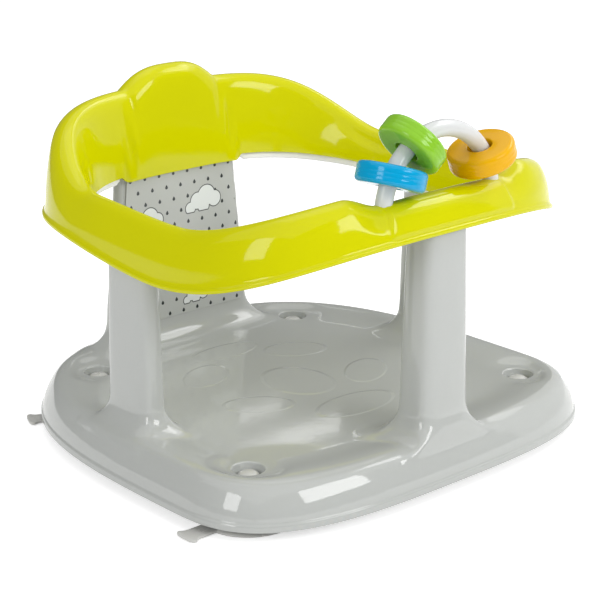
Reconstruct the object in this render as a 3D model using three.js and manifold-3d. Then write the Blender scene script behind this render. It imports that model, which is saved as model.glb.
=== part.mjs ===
import * as THREE from 'three';
import { mergeVertices } from 'three/addons/utils/BufferGeometryUtils.js';
import Module from 'manifold-3d';

const wasm = await Module();
wasm.setup();

// Millimetres. Z is up, the child faces -Y, the origin is the middle of the
// footprint on the floor of the bath.

// General clearances
const SEAT_GAP = 0.3;
const WALL = 2.6;

// Tray outline, two half superellipses that meet at the widest line
const TRAY_HALF_WIDTH = 166.5;
const TRAY_FRONT = 163;
const TRAY_REAR = 163;
const TRAY_WIDEST_Y = -70;
const TRAY_FRONT_POWER_SHARE = 3.2;
const TRAY_REAR_POWER_SHARE = 3.0;

// Tray heights and its sloping rim
const TRAY_FOOT_Z = 7.5;
const TRAY_LIP_HEIGHT = 2.5;
const TRAY_LIP_OUT = 1.6;
const TRAY_HEIGHT = 28;
const RIM_Z = TRAY_FOOT_Z + TRAY_HEIGHT;
const RIM_INSET = 9;
const RIM_ROUND = 4.5;
const RIM_LAND = 20;
const FLOOR_DROP = 6;
const FLOOR_Z = RIM_Z - FLOOR_DROP;
const FLOOR_BLEND = 12;

// Suction cup wells in the four corners
const WELL_FRONT_SIDE = 41.5;
const WELL_FRONT_END = 62;
const WELL_REAR_SIDE = 74.5;
const WELL_REAR_END = 62;
const WELL_FRONT_X = TRAY_HALF_WIDTH - WELL_FRONT_SIDE;
const WELL_FRONT_Y = WELL_FRONT_END - TRAY_FRONT;
const WELL_REAR_X = TRAY_HALF_WIDTH - WELL_REAR_SIDE;
const WELL_REAR_Y = TRAY_REAR - WELL_REAR_END;
const WELL_RADIUS = 10.2;
const WELL_MOUTH_ROUND = 1.6;
const WELL_DEPTH = 9;
const WELL_DRAFT = 0.8;
const WELL_PLATE = 3;
const WELL_HOLE_RADIUS = 4.6;
const WELL_PLATFORM = 8;

// Ring outline, at the outside of its lower lip
const RING_SIDE_INSET = 16.5;
const RING_FRONT_INSET = 7;
const RING_REAR_INSET = 14;
const RING_HALF_WIDTH = TRAY_HALF_WIDTH - RING_SIDE_INSET;
const RING_FRONT = TRAY_FRONT - RING_FRONT_INSET;
const RING_REAR = TRAY_REAR - RING_REAR_INSET;
const RING_WIDEST_Y = -10;
const RING_FRONT_POWER_SHARE = 3.3;
const RING_REAR_POWER_SHARE = 3.2;

// Ring section, insets from the lip inwards
const RING_LIP_HEIGHT = 2.6;
const RING_LIP_OUT = 1.6;
const RING_OUTER_TOP = 8.5;
const RING_CREST_OUT = 13;
const RING_CREST_IN = 18.5;
const RING_INNER_TOP = 23.5;
const RING_DEPTH = 30;
const RING_ROUND = 8;
const RING_INNER_LEAN = 1;
const RING_WALL = 2.6;
const RING_INNER_LIFT = 6;
const RING_INNER_FRONT_LIFT = 4;
const RING_INNER_BACK_LIFT = 5.7;
const RING_INNER_BACK_LENGTH = 89;
const RING_INNER_FRONT_START = -40;
const RING_INNER_FRONT_LENGTH = 80;
const RING_PANEL_DROP = 4;
const RING_PANEL_EDGE = 4;

// Toy arch, a half circle on the front rail
const ARCH_RADIUS = 48;
const ARCH_SINK = 9.1;
const ARCH_SETBACK = 18.2;
const ARCH_ROD = 5.5;
const ARCH_LEG = 4;
const ARCH_RAIL_MARGIN = 5;

// Ring heights along the outline, lower edge then crest
const POST_REACH = 105.5;
const LOWER_SIDE_Z = RIM_Z + POST_REACH;
const LOWER_FRONT_RISE = 31.5;
const LOWER_FRONT_END = -39;
const LOWER_FRONT_POWER_SHARE = 2.1;
const LOWER_BACK_RISE = 11.5;
const LOWER_BACK_START = -45;
const LOWER_BACK_LENGTH = 130;
const SIDE_HEIGHT = 35.5;
const SHOULDER_RISE = 27.5;
const SHOULDER_START = -50;
const SHOULDER_LENGTH = 93;
const SHOULDER_POWER_SHARE = 1.6;
const RAIL_RISE = 18.5;
const SIDE_TILT = 3.5;
const SIDE_TILT_START = -45;
const SIDE_TILT_LENGTH = 90;
const BACK_RISE = 43;
const BACK_START = 42;
const BACK_LENGTH = 108;
const HEAD_RISE = 14.8;
const CREST_SIDE_Z = LOWER_SIDE_Z + SIDE_HEIGHT;
const CREST_RAIL_Z = CREST_SIDE_Z + RAIL_RISE;
const CREST_HEAD_Z = CREST_SIDE_Z + SIDE_TILT + BACK_RISE + HEAD_RISE;
const HEAD_HALF_WIDTH = 42;
const HEAD_EDGE_POWER_SHARE = 3;
const HEAD_TOP_POWER_SHARE = 1.2;
const HEAD_PROUD = 3;
const HEAD_CREASE = 4;
const RAIL_HALF_WIDTH = ARCH_RADIUS + ARCH_RAIL_MARGIN;
const RAIL_BLEND = 28;
const RAIL_EXTRA_DEPTH = 9;
const ARCH_Y = ARCH_SETBACK - RING_FRONT;
const ARCH_CENTRE_Z = CREST_RAIL_Z - ARCH_SINK;

// Pommel between the legs
const POMMEL_SETBACK = 21;
const POMMEL_Y = POMMEL_SETBACK - RING_FRONT;
const POMMEL_HALF_X = 17.5;
const POMMEL_HALF_Y = 11.3;
const POMMEL_BELOW_CREST = 12.5;
const POMMEL_TOP_Z = CREST_RAIL_Z - POMMEL_BELOW_CREST;
const POMMEL_DRAFT = 3;
const POMMEL_FOOT = 16;

// Side columns
const COLUMN_SETBACK = 16;
const COLUMN_X = RING_HALF_WIDTH - COLUMN_SETBACK;
const COLUMN_Y = 0;
const COLUMN_HALF_X = 7.55;
const COLUMN_HALF_Y = 19;
const COLUMN_BELOW_CREST = 19;
const COLUMN_TOP_Z = CREST_SIDE_Z - COLUMN_BELOW_CREST;
const COLUMN_DRAFT = 1.6;
const COLUMN_FOOT = 17;

// Tongues on the posts that carry the ring's roof
const TONGUE_HALF_THICK = 1.6;
const TONGUE_HALF_LENGTH = 7;
const TONGUE_START_DROP = 6;
const TONGUE_TOP_GAP = 0.45;

// Back panel
const PANEL_SETBACK = 21.8;
const PANEL_Y = RING_REAR - PANEL_SETBACK;
const PANEL_HALF_TOP_X = 51;
const PANEL_HALF_Y = 6;
const PANEL_OVERLAP = 28.5;
const PANEL_TOP_Z = LOWER_SIDE_Z + LOWER_BACK_RISE + PANEL_OVERLAP;
const PANEL_DRAFT_X = 14;
const PANEL_DRAFT_Y = 1.2;
const PANEL_FOOT = 18;
const PANEL_BEND = 0.3;

const POST_POWER_SHARE = 4;
const PANEL_POWER_SHARE = 9;
const POST_BASE_DROP = 3;

// Printed film on the front of the back panel
const FILM_THICK = 0.5;
const FILM_ABOVE_FLOOR = 20.5;
const FILM_BELOW_TOP = 16;
const FILM_BOTTOM_Z = FLOOR_Z + FILM_ABOVE_FLOOR;
const FILM_TOP_Z = PANEL_TOP_Z - FILM_BELOW_TOP;
const FILM_SIDE_MARGIN = 5;

// Pale cover strip under the ring's inner wall
const COVER_THICK = 2;
const COVER_TAB = 3.5;
const COVER_LEAN = 1.1;
const COVER_BELOW = 5.5;
const COVER_END_GAP = 4;

// Toy rings, threaded on the arch; places are measured along the rod
const TOY_RADIUS = 22;
const TOY_HALF = 6.5;
const TOY_ROUND = 2;
const TOY_MOUTH = 0.8;
const TOY_SLACK = 2.5;
const TOY_HOLE = ARCH_ROD + TOY_SLACK;

const BLUE_ARC = 25.8;
const BLUE_TILT_DEGREES = -10.8;
const BLUE_TIP_DEGREES = 4.6;
const GREEN_ARC = 50.7;
const GREEN_TILT_DEGREES = -11;
const GREEN_TIP_DEGREES = -2.3;
const ORANGE_ARC = 28;
const ORANGE_OUT = -1.3;
const ORANGE_TILT_DEGREES = -12.3;

// Suction cups
const CUP_RADIUS = 32;
const CUP_LIP = 1;
const CUP_HEIGHT = 9.5;
const CUP_HOLLOW = 5.5;
const CUP_NECK_STEP = 2;
const CUP_SHAFT_GAP = 0.4;
const CUP_HEAD_GAP = 3.2;
const CUP_NECK = WELL_HOLE_RADIUS + CUP_NECK_STEP;
const CUP_SHAFT = WELL_HOLE_RADIUS - CUP_SHAFT_GAP;
const CUP_HEAD = WELL_RADIUS - CUP_HEAD_GAP;
const CUP_HEAD_HEIGHT = 3.6;
const TAB_LENGTH = 18;
const TAB_REACH = CUP_RADIUS + TAB_LENGTH;
const TAB_HALF_NECK = 6.5;
const TAB_HALF_END = 9;
const TAB_THICK = 1.8;
const TAB_LIFT = 0.6;
const TAB_OVERLAP = 6;
const TAB_ROOT = CUP_RADIUS - TAB_OVERLAP;
const TAB_FLARE = 10;

// Smoothness, counts only
const AROUND_COUNT = 52;
const RING_COUNT = 88;
const POST_COUNT = 6;
const ROUND_COUNT = 20;

const ZERO = 0;
const HALF_TURN = Math.PI;

function smooth(share) {
  const t = Math.min(Math.max(share, 0), 1);
  return t * t * (3 - 2 * t);
}

function mix(a, b, share) {
  return a + (b - a) * share;
}

// Closed grid of points: rows of equal length, each row a closed loop
function gridSolid(rows, closeRows, capEnds) {
  const positions = [];
  const faces = [];
  const width = rows[0].length;
  rows.forEach((row) => row.forEach((p) => positions.push(p.x, p.y, p.z)));
  const last = closeRows ? rows.length : rows.length - 1;
  for (let i = 0; i < last; i += 1) {
    const low = i * width;
    const high = ((i + 1) % rows.length) * width;
    for (let j = 0; j < width; j += 1) {
      const k = (j + 1) % width;
      faces.push(low + j, low + k, high + k, low + j, high + k, high + j);
    }
  }
  if (capEnds) {
    addCap(positions, faces, rows[0], 0, true);
    addCap(positions, faces, rows[rows.length - 1], (rows.length - 1) * width, false);
  }
  return toSolid(positions, faces);
}

function addCap(positions, faces, row, start, flip) {
  const centre = new THREE.Vector3();
  row.forEach((p) => centre.add(p));
  centre.divideScalar(row.length);
  const index = positions.length / 3;
  positions.push(centre.x, centre.y, centre.z);
  for (let j = 0; j < row.length; j += 1) {
    const k = (j + 1) % row.length;
    if (flip) faces.push(index, start + k, start + j);
    else faces.push(index, start + j, start + k);
  }
}

// Manifold solid from points and triangles, turned right side out
function toSolid(positions, faces) {
  const mesh = new wasm.Mesh({
    numProp: 3,
    vertProperties: Float32Array.from(positions),
    triVerts: Uint32Array.from(faces),
  });
  mesh.merge();
  const solid = new wasm.Manifold(mesh);
  if (solid.volume() >= ZERO) return solid;
  const turned = [];
  for (let i = 0; i < faces.length; i += 3) {
    turned.push(faces[i], faces[i + 2], faces[i + 1]);
  }
  return toSolid(positions, turned);
}

function geometrySolid(geometry) {
  const plain = geometry.clone();
  plain.deleteAttribute('normal');
  plain.deleteAttribute('uv');
  const merged = mergeVertices(plain);
  const index = merged.index.array;
  const kept = [];
  for (let i = 0; i < index.length; i += 3) {
    const [a, b, c] = [index[i], index[i + 1], index[i + 2]];
    if (a !== b && b !== c && a !== c) kept.push(a, b, c);
  }
  return toSolid(Array.from(merged.attributes.position.array), kept);
}

function solidGeometry(solid) {
  const mesh = solid.getMesh();
  const geometry = new THREE.BufferGeometry();
  const stride = mesh.numProp;
  const count = mesh.vertProperties.length / stride;
  const points = new Float32Array(count * 3);
  for (let i = 0; i < count; i += 1) {
    points.set(mesh.vertProperties.subarray(i * stride, i * stride + 3), i * 3);
  }
  geometry.setAttribute('position', new THREE.BufferAttribute(points, 3));
  geometry.setIndex(Array.from(mesh.triVerts));
  geometry.computeVertexNormals();
  return geometry;
}

// Point of a two-part superellipse at an angle, 0 at the front and half a
// turn at the rear
function ovalPoint(size, inset, turn) {
  const c = Math.cos(turn);
  const s = Math.sin(turn);
  const power = 2 / (c > 0 ? size.frontPower : size.rearPower);
  const reach = c > 0 ? size.front - inset + size.widest : size.rear - inset - size.widest;
  const x = Math.sign(s) * Math.abs(s) ** power * (size.half - inset);
  const y = size.widest - Math.sign(c) * Math.abs(c) ** power * reach;
  return new THREE.Vector2(x, y);
}

// Even turns around an oval: equal steps of arc length
function evenTurns(size, count) {
  const fine = 20 * count;
  const lengths = [0];
  let before = ovalPoint(size, ZERO, 0);
  for (let i = 1; i <= fine; i += 1) {
    const here = ovalPoint(size, ZERO, (i / fine) * 2 * Math.PI);
    lengths.push(lengths[i - 1] + here.distanceTo(before));
    before = here;
  }
  const turns = [];
  let at = 0;
  for (let j = 0; j < count; j += 1) {
    const goal = (j / count) * lengths[fine];
    while (lengths[at + 1] < goal) at += 1;
    const part = (goal - lengths[at]) / (lengths[at + 1] - lengths[at]);
    turns.push(((at + part) / fine) * 2 * Math.PI);
  }
  return turns;
}

const TRAY = {
  half: TRAY_HALF_WIDTH,
  front: TRAY_FRONT,
  rear: TRAY_REAR,
  widest: TRAY_WIDEST_Y,
  frontPower: TRAY_FRONT_POWER_SHARE,
  rearPower: TRAY_REAR_POWER_SHARE,
};

const RING = {
  half: RING_HALF_WIDTH,
  front: RING_FRONT,
  rear: RING_REAR,
  widest: RING_WIDEST_Y,
  frontPower: RING_FRONT_POWER_SHARE,
  rearPower: RING_REAR_POWER_SHARE,
};

function trayRow(turns, inset, z) {
  return turns.map((turn) => {
    const p = ovalPoint(TRAY, inset, turn);
    return new THREE.Vector3(p.x, p.y, z);
  });
}

// Outer skin of the tray from the floor's middle out to the lip
function traySkin(drop) {
  const low = TRAY_FOOT_Z;
  const rimIn = RIM_INSET + RIM_ROUND;
  const floorAt = rimIn + RIM_LAND;
  const side = drop;
  return [
    [ZERO + side, low],
    [ZERO + side, low + TRAY_LIP_HEIGHT],
    [TRAY_LIP_OUT + side, low + 2 * TRAY_LIP_HEIGHT],
    [RIM_INSET * 0.8 + side, RIM_Z - RIM_ROUND - drop * 0.8],
    [RIM_INSET + RIM_ROUND * 0.35 + side * 0.8, RIM_Z - RIM_ROUND * 0.35 - drop],
    [rimIn + side * 0.6, RIM_Z - drop],
    [floorAt - FLOOR_BLEND * 0.7, RIM_Z - drop],
    [floorAt, mix(RIM_Z, FLOOR_Z, 0.5) - drop],
    [floorAt + FLOOR_BLEND * 0.7, FLOOR_Z - drop],
  ];
}

function trayShell() {
  const turns = evenTurns(TRAY, AROUND_COUNT);
  const upper = traySkin(ZERO).map(([inset, z]) => trayRow(turns, inset, z));
  const under = traySkin(WALL).map(([inset, z]) => trayRow(turns, inset, z));
  return gridSolid([...upper.reverse(), ...under], false, true);
}

// Tall prism with the tray's sloping wall, used to trim feet of the posts
function trayEnvelope() {
  const turns = evenTurns(TRAY, AROUND_COUNT);
  const rows = traySkin(ZERO).slice(2, 5).map(([inset, z]) => trayRow(turns, inset + SEAT_GAP, z));
  const [inset] = traySkin(ZERO)[4];
  rows.push(trayRow(turns, inset + SEAT_GAP, CREST_HEAD_Z));
  return gridSolid(rows, false, true);
}

// Closed section of a post: a superellipse, bent forward at its sides
function postRow(post, halfX, halfY, z) {
  const steps = (count) => Array.from({ length: count }, (_, i) => (2 * i) / count - 1);
  const front = steps(post.countX).map((u) => [u, -1]);
  const left = steps(post.countY).map((v) => [1, v]);
  const rear = steps(post.countX).map((u) => [-u, 1]);
  const right = steps(post.countY).map((v) => [-1, -v]);
  return [...front, ...left, ...rear, ...right].map(([u, v]) => {
    const pull = (Math.abs(u) ** post.power + Math.abs(v) ** post.power) ** (-1 / post.power);
    const bend = post.bend * (u * pull) ** 2;
    return new THREE.Vector3(post.x + u * pull * halfX, post.y + v * pull * halfY - bend, z);
  });
}

// Heights and growths of a post with a flared foot; inset shrinks it to the
// hollow inside
function postLoft(post, inset) {
  const rows = [];
  const low = FLOOR_Z - POST_BASE_DROP - (inset > ZERO ? 2 * WALL : ZERO);
  const top = post.top - inset * 1.2;
  const steps = 4;
  const grow = (z) => (post.top - z) / (post.top - FLOOR_Z);
  const add = (z, flare) => {
    const halfX = post.halfX + post.draftX * grow(z) + flare - inset;
    const halfY = post.halfY + post.draftY * grow(z) + flare - inset;
    rows.push(postRow(post, halfX, halfY, z));
  };
  const foot = inset > ZERO ? ZERO : post.foot;
  add(low, foot);
  for (let i = 0; i <= steps; i += 1) {
    const t = i / steps;
    add(FLOOR_Z + post.foot * t, foot * (1 - Math.sqrt(1 - (1 - t) ** 2)));
  }
  add(mix(FLOOR_Z + post.foot, top, 0.5), ZERO);
  add(top, ZERO);
  return gridSolid(rows, false, true);
}

function posts() {
  const column = (side) => ({
    x: side * COLUMN_X,
    y: COLUMN_Y,
    halfX: COLUMN_HALF_X,
    halfY: COLUMN_HALF_Y,
    top: COLUMN_TOP_Z,
    draftX: COLUMN_DRAFT,
    draftY: COLUMN_DRAFT,
    foot: COLUMN_FOOT,
    bend: ZERO,
    power: POST_POWER_SHARE,
    countX: POST_COUNT,
    countY: POST_COUNT,
  });
  const pommel = {
    x: ZERO,
    y: POMMEL_Y,
    halfX: POMMEL_HALF_X,
    halfY: POMMEL_HALF_Y,
    top: POMMEL_TOP_Z,
    draftX: POMMEL_DRAFT,
    draftY: POMMEL_DRAFT,
    foot: POMMEL_FOOT,
    bend: ZERO,
    power: POST_POWER_SHARE,
    countX: POST_COUNT,
    countY: POST_COUNT,
  };
  const panel = {
    x: ZERO,
    y: PANEL_Y,
    halfX: PANEL_HALF_TOP_X,
    halfY: PANEL_HALF_Y,
    top: PANEL_TOP_Z,
    draftX: PANEL_DRAFT_X,
    draftY: PANEL_DRAFT_Y,
    foot: PANEL_FOOT,
    bend: PANEL_BEND,
    power: PANEL_POWER_SHARE,
    countX: 2 * POST_COUNT,
    countY: POST_COUNT / 2,
  };
  return [column(-1), column(1), pommel, panel];
}

function turned(points, count) {
  const profile = points.map(([r, z]) => new THREE.Vector2(r, z));
  const geometry = new THREE.LatheGeometry(profile, count);
  geometry.rotateX(HALF_TURN / 2);
  return geometrySolid(geometry);
}

function wellCentres() {
  return [
    ['front_right', -WELL_FRONT_X, WELL_FRONT_Y],
    ['front_left', WELL_FRONT_X, WELL_FRONT_Y],
    ['rear_right', -WELL_REAR_X, WELL_REAR_Y],
    ['rear_left', WELL_REAR_X, WELL_REAR_Y],
  ];
}

function wellBoss() {
  const inner = WELL_RADIUS + WALL;
  const outer = WELL_RADIUS + WELL_PLATFORM;
  const low = RIM_Z - WELL_DEPTH - WELL_PLATE;
  return turned([
    [ZERO, low],
    [inner, low],
    [inner, FLOOR_Z - WALL],
    [outer, FLOOR_Z - WALL],
    [outer, FLOOR_Z],
    [outer - WALL, RIM_Z],
    [ZERO, RIM_Z],
  ], ROUND_COUNT);
}

function wellCut() {
  const low = RIM_Z - WELL_DEPTH;
  const bottom = WELL_RADIUS - WELL_DRAFT;
  const mouth = WELL_RADIUS + WELL_MOUTH_ROUND;
  return turned([
    [ZERO, low - 2 * WELL_PLATE],
    [WELL_HOLE_RADIUS, low - 2 * WELL_PLATE],
    [WELL_HOLE_RADIUS, low],
    [bottom, low],
    [WELL_RADIUS, RIM_Z - WELL_MOUTH_ROUND],
    [mouth, RIM_Z],
    [mouth, RIM_Z + WELL_DEPTH],
    [ZERO, RIM_Z + WELL_DEPTH],
  ], ROUND_COUNT);
}

// A tongue on top of a post, up to the underside of the ring's roof
function tongue(x, y, halfX, halfY, low) {
  const signs = [[-1, -1], [-1, 1], [1, -1], [1, 1]];
  const corners = signs.map(([i, j]) => ({ x: x + i * halfX, y: y + j * halfY }));
  const roof = Math.min(...corners.map(crestZ)) - RING_WALL - TONGUE_TOP_GAP;
  const geometry = new THREE.BoxGeometry(2 * halfX, 2 * halfY, roof - low);
  geometry.translate(x, y, (roof + low) / 2);
  return geometrySolid(geometry);
}

function tongues() {
  const inset = (RING_CREST_OUT + RING_CREST_IN) / 2;
  const side = [-1, 1].map((sign) => tongue(
    sign * (RING_HALF_WIDTH - inset),
    COLUMN_Y,
    TONGUE_HALF_THICK,
    TONGUE_HALF_LENGTH,
    COLUMN_TOP_Z - TONGUE_START_DROP,
  ));
  const low = POMMEL_TOP_Z - TONGUE_START_DROP;
  return [...side, tongue(ZERO, inset - RING_FRONT, TONGUE_HALF_LENGTH, TONGUE_HALF_THICK, low)];
}

function baseShell() {
  const envelope = trayEnvelope();
  let solid = trayShell();
  const boss = wellBoss();
  const cut = wellCut();
  wellCentres().forEach(([, x, y]) => {
    solid = solid.add(boss.translate([x, y, ZERO]));
  });
  posts().forEach((post) => {
    solid = solid.add(postLoft(post, ZERO).intersect(envelope));
  });
  posts().forEach((post) => {
    solid = solid.subtract(postLoft(post, WALL));
  });
  tongues().forEach((piece) => {
    solid = solid.add(piece);
  });
  wellCentres().forEach(([, x, y]) => {
    solid = solid.subtract(cut.translate([x, y, ZERO]));
  });
  return solid;
}

// Printed film, a thin sheet that follows the front of the back panel
function filmPoint(panel, share, z, out) {
  const grow = (panel.top - z) / (panel.top - FLOOR_Z);
  const halfX = panel.halfX + panel.draftX * grow;
  const halfY = panel.halfY + panel.draftY * grow;
  const x = share * (halfX - FILM_SIDE_MARGIN);
  const side = Math.abs(x / halfX);
  const face = halfY * (1 - side ** panel.power) ** (1 / panel.power);
  return new THREE.Vector3(x, panel.y - face - panel.bend * side ** 2 - out, z);
}

function backrestFilm() {
  const panel = posts()[3];
  const outer = SEAT_GAP + FILM_THICK;
  const shares = Array.from({ length: 2 * POST_COUNT + 1 }, (_, i) => i / POST_COUNT - 1);
  const rows = shares.map((share) => [
    filmPoint(panel, share, FILM_BOTTOM_Z, SEAT_GAP),
    filmPoint(panel, share, FILM_TOP_Z, SEAT_GAP),
    filmPoint(panel, share, FILM_TOP_Z, outer),
    filmPoint(panel, share, FILM_BOTTOM_Z, outer),
  ]);
  return gridSolid(rows, false, true);
}

// Lower edge of the ring: high over the pommel, low at the sides
function lowerZ(p) {
  const back = smooth((p.y - LOWER_BACK_START) / LOWER_BACK_LENGTH);
  const reach = Math.max((LOWER_FRONT_END - p.y) / (RING_FRONT + LOWER_FRONT_END), ZERO);
  return LOWER_SIDE_Z + LOWER_FRONT_RISE * reach ** LOWER_FRONT_POWER_SHARE + LOWER_BACK_RISE * back;
}

// Lower edge of the inner wall, which comes down in front of the back panel
function innerZ(turn) {
  const p = ovalPoint(RING, ZERO, turn);
  const inside = ovalPoint(RING, RING_DEPTH, turn);
  const front = smooth((RING_INNER_FRONT_START - p.y) / RING_INNER_FRONT_LENGTH);
  const reach = Math.max((p.y - RING_REAR + RING_INNER_BACK_LENGTH) / RING_INNER_BACK_LENGTH, ZERO);
  const lift = RING_INNER_LIFT + RING_INNER_FRONT_LIFT * front + RING_INNER_BACK_LIFT * reach ** 2;
  const beside = smooth((PANEL_HALF_TOP_X + RING_PANEL_EDGE - Math.abs(inside.x)) / RING_PANEL_EDGE);
  const drop = p.y > ZERO ? RING_PANEL_DROP * beside : ZERO;
  return lowerZ(p) + lift - drop;
}

function crestZ(p) {
  const tilt = smooth((p.y - SIDE_TILT_START) / SIDE_TILT_LENGTH);
  const rise = smooth((p.y - BACK_START) / BACK_LENGTH);
  const reach = Math.min(Math.max((SHOULDER_START - p.y) / SHOULDER_LENGTH, ZERO), 1);
  const rail = smooth((RAIL_HALF_WIDTH + RAIL_BLEND - Math.abs(p.x)) / RAIL_BLEND);
  const front = SHOULDER_RISE * reach ** SHOULDER_POWER_SHARE;
  const dip = p.y < ZERO ? (SHOULDER_RISE - RAIL_RISE) * rail : ZERO;
  return CREST_SIDE_Z + SIDE_TILT * tilt + BACK_RISE * rise + front - dip + headRise(p);
}

function headRise(p) {
  if (p.y < ZERO) return ZERO;
  const share = Math.min(Math.abs(p.x) / HEAD_HALF_WIDTH, 1);
  return HEAD_RISE * (1 - share ** HEAD_EDGE_POWER_SHARE) ** HEAD_TOP_POWER_SHARE;
}

// How far the head pillow stands proud of the inner wall
function headProud(p) {
  if (p.y < ZERO) return ZERO;
  return HEAD_PROUD * smooth((PANEL_HALF_TOP_X + HEAD_CREASE - Math.abs(p.x)) / HEAD_CREASE);
}

// Extra depth of the front rail, where it houses the pommel
function railDepth(p) {
  if (p.y > ZERO) return ZERO;
  return RAIL_EXTRA_DEPTH * smooth((RAIL_HALF_WIDTH - Math.abs(p.x)) / RAIL_BLEND);
}

// One turn's section of the ring shell, outside then back along the hollow
function ringSection(turn) {
  const foot = ovalPoint(RING, ZERO, turn);
  const top = ovalPoint(RING, RING_CREST_OUT, turn);
  const inside = ovalPoint(RING, RING_DEPTH, turn);
  const low = lowerZ(foot);
  const crest = crestZ(top);
  const proud = headProud(inside) + railDepth(foot);
  const inner = innerZ(turn);
  const wall = RING_WALL;
  const shape = [
    [wall, low],
    [ZERO, low],
    [ZERO, low + RING_LIP_HEIGHT],
    [RING_LIP_OUT, low + 2 * RING_LIP_HEIGHT],
    [RING_OUTER_TOP, crest - RING_ROUND],
    [mix(RING_OUTER_TOP, RING_CREST_OUT, 0.35), crest - RING_ROUND * 0.35],
    [RING_CREST_OUT, crest],
    [RING_CREST_IN, crest],
    [mix(RING_CREST_IN, RING_INNER_TOP, 0.65), crest - RING_ROUND * 0.35],
    [RING_INNER_TOP + proud * 0.5, crest - RING_ROUND],
    [RING_DEPTH - RING_INNER_LEAN + proud, mix(inner, crest, 0.35)],
    [RING_DEPTH + proud, inner],
    [RING_DEPTH + proud - wall, inner],
    [RING_DEPTH - RING_INNER_LEAN + proud - wall, mix(inner, crest, 0.35)],
    [RING_INNER_TOP + proud * 0.5 - wall, crest - RING_ROUND - wall * 0.3],
    [RING_CREST_IN - wall * 0.3, crest - wall],
    [RING_CREST_OUT + wall * 0.3, crest - wall],
    [RING_OUTER_TOP + wall, crest - RING_ROUND - wall * 0.3],
    [RING_LIP_OUT + wall, low + 2 * RING_LIP_HEIGHT],
  ];
  return shape.map(([inset, z]) => {
    const p = ovalPoint(RING, inset, turn);
    return new THREE.Vector3(p.x, p.y, z);
  });
}

function ringShell() {
  const turns = evenTurns(RING, RING_COUNT);
  const rows = turns.map(ringSection);
  let solid = gridSolid(rows, true, false);
  return solid.subtract(archRod(SEAT_GAP));
}

// Pale strip behind the inner wall's lower edge, from one side of the back
// panel round the front to the other
function coverSection(turn) {
  const foot = ovalPoint(RING, ZERO, turn);
  const low = innerZ(turn) - COVER_BELOW;
  const high = innerZ(turn) + COVER_TAB;
  const face = RING_DEPTH + railDepth(foot) - RING_WALL - SEAT_GAP;
  const lean = COVER_LEAN;
  const shape = [
    [face - COVER_THICK, low],
    [face, low],
    [face - lean, high],
    [face - COVER_THICK - lean, high],
  ];
  return shape.map(([inset, z]) => {
    const p = ovalPoint(RING, inset, turn);
    return new THREE.Vector3(p.x, p.y, z);
  });
}

function ringCover() {
  const limit = PANEL_HALF_TOP_X + COVER_END_GAP;
  const turns = evenTurns(RING, RING_COUNT).filter((turn) => {
    const p = ovalPoint(RING, RING_DEPTH, turn);
    return p.y < ZERO || Math.abs(p.x) > limit;
  });
  const signed = turns.map((turn) => (turn > HALF_TURN ? turn - 2 * HALF_TURN : turn));
  signed.sort((a, b) => a - b);
  return gridSolid(signed.map(coverSection), false, true);
}

// Toy arch: a half circle with short straight legs
class ArchCurve extends THREE.Curve {
  getPoint(t, target = new THREE.Vector3()) {
    const bend = HALF_TURN * ARCH_RADIUS;
    const total = bend + 2 * ARCH_LEG;
    const at = t * total - ARCH_LEG;
    const turn = HALF_TURN - Math.min(Math.max(at / ARCH_RADIUS, ZERO), HALF_TURN);
    const below = Math.max(-at, at - bend, ZERO);
    const z = ARCH_CENTRE_Z + ARCH_RADIUS * Math.sin(turn) - below;
    return target.set(ARCH_RADIUS * Math.cos(turn), ARCH_Y, z);
  }
}

function archRod(grow) {
  const circle = new THREE.Shape();
  circle.absarc(ZERO, ZERO, ARCH_ROD + grow, 0, 2 * Math.PI);
  const geometry = new THREE.ExtrudeGeometry(circle, {
    steps: ROUND_COUNT,
    curveSegments: ROUND_COUNT / 4,
    extrudePath: new ArchCurve(),
  });
  return geometrySolid(geometry);
}

// A toy ring: a thick washer with rounded edges. It sits on the rod at a length
// of arc from one foot, pushed out from the rod and tilted off it
function toyRing(side, arc, out, tilt, tip) {
  const edge = TOY_ROUND * (1 - Math.SQRT1_2);
  const profile = [
    [TOY_HOLE, -TOY_HALF + TOY_MOUTH],
    [TOY_HOLE + TOY_MOUTH, -TOY_HALF],
    [TOY_RADIUS - TOY_ROUND, -TOY_HALF],
    [TOY_RADIUS - edge, -TOY_HALF + edge],
    [TOY_RADIUS, -TOY_HALF + TOY_ROUND],
    [TOY_RADIUS, TOY_HALF - TOY_ROUND],
    [TOY_RADIUS - edge, TOY_HALF - edge],
    [TOY_RADIUS - TOY_ROUND, TOY_HALF],
    [TOY_HOLE + TOY_MOUTH, TOY_HALF],
    [TOY_HOLE, TOY_HALF - TOY_MOUTH],
    [TOY_HOLE, -TOY_HALF + TOY_MOUTH],
  ];
  const geometry = new THREE.LatheGeometry(profile.map(([r, h]) => new THREE.Vector2(r, h)), ROUND_COUNT);
  const turn = arc / ARCH_RADIUS;
  const lean = turn + THREE.MathUtils.degToRad(tilt);
  geometry.rotateX(HALF_TURN / 2 - THREE.MathUtils.degToRad(tip));
  geometry.rotateY(-side * lean);
  const reach = ARCH_RADIUS + out;
  geometry.translate(side * reach * Math.cos(turn), ARCH_Y, ARCH_CENTRE_Z + reach * Math.sin(turn));
  return geometrySolid(geometry);
}

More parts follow.
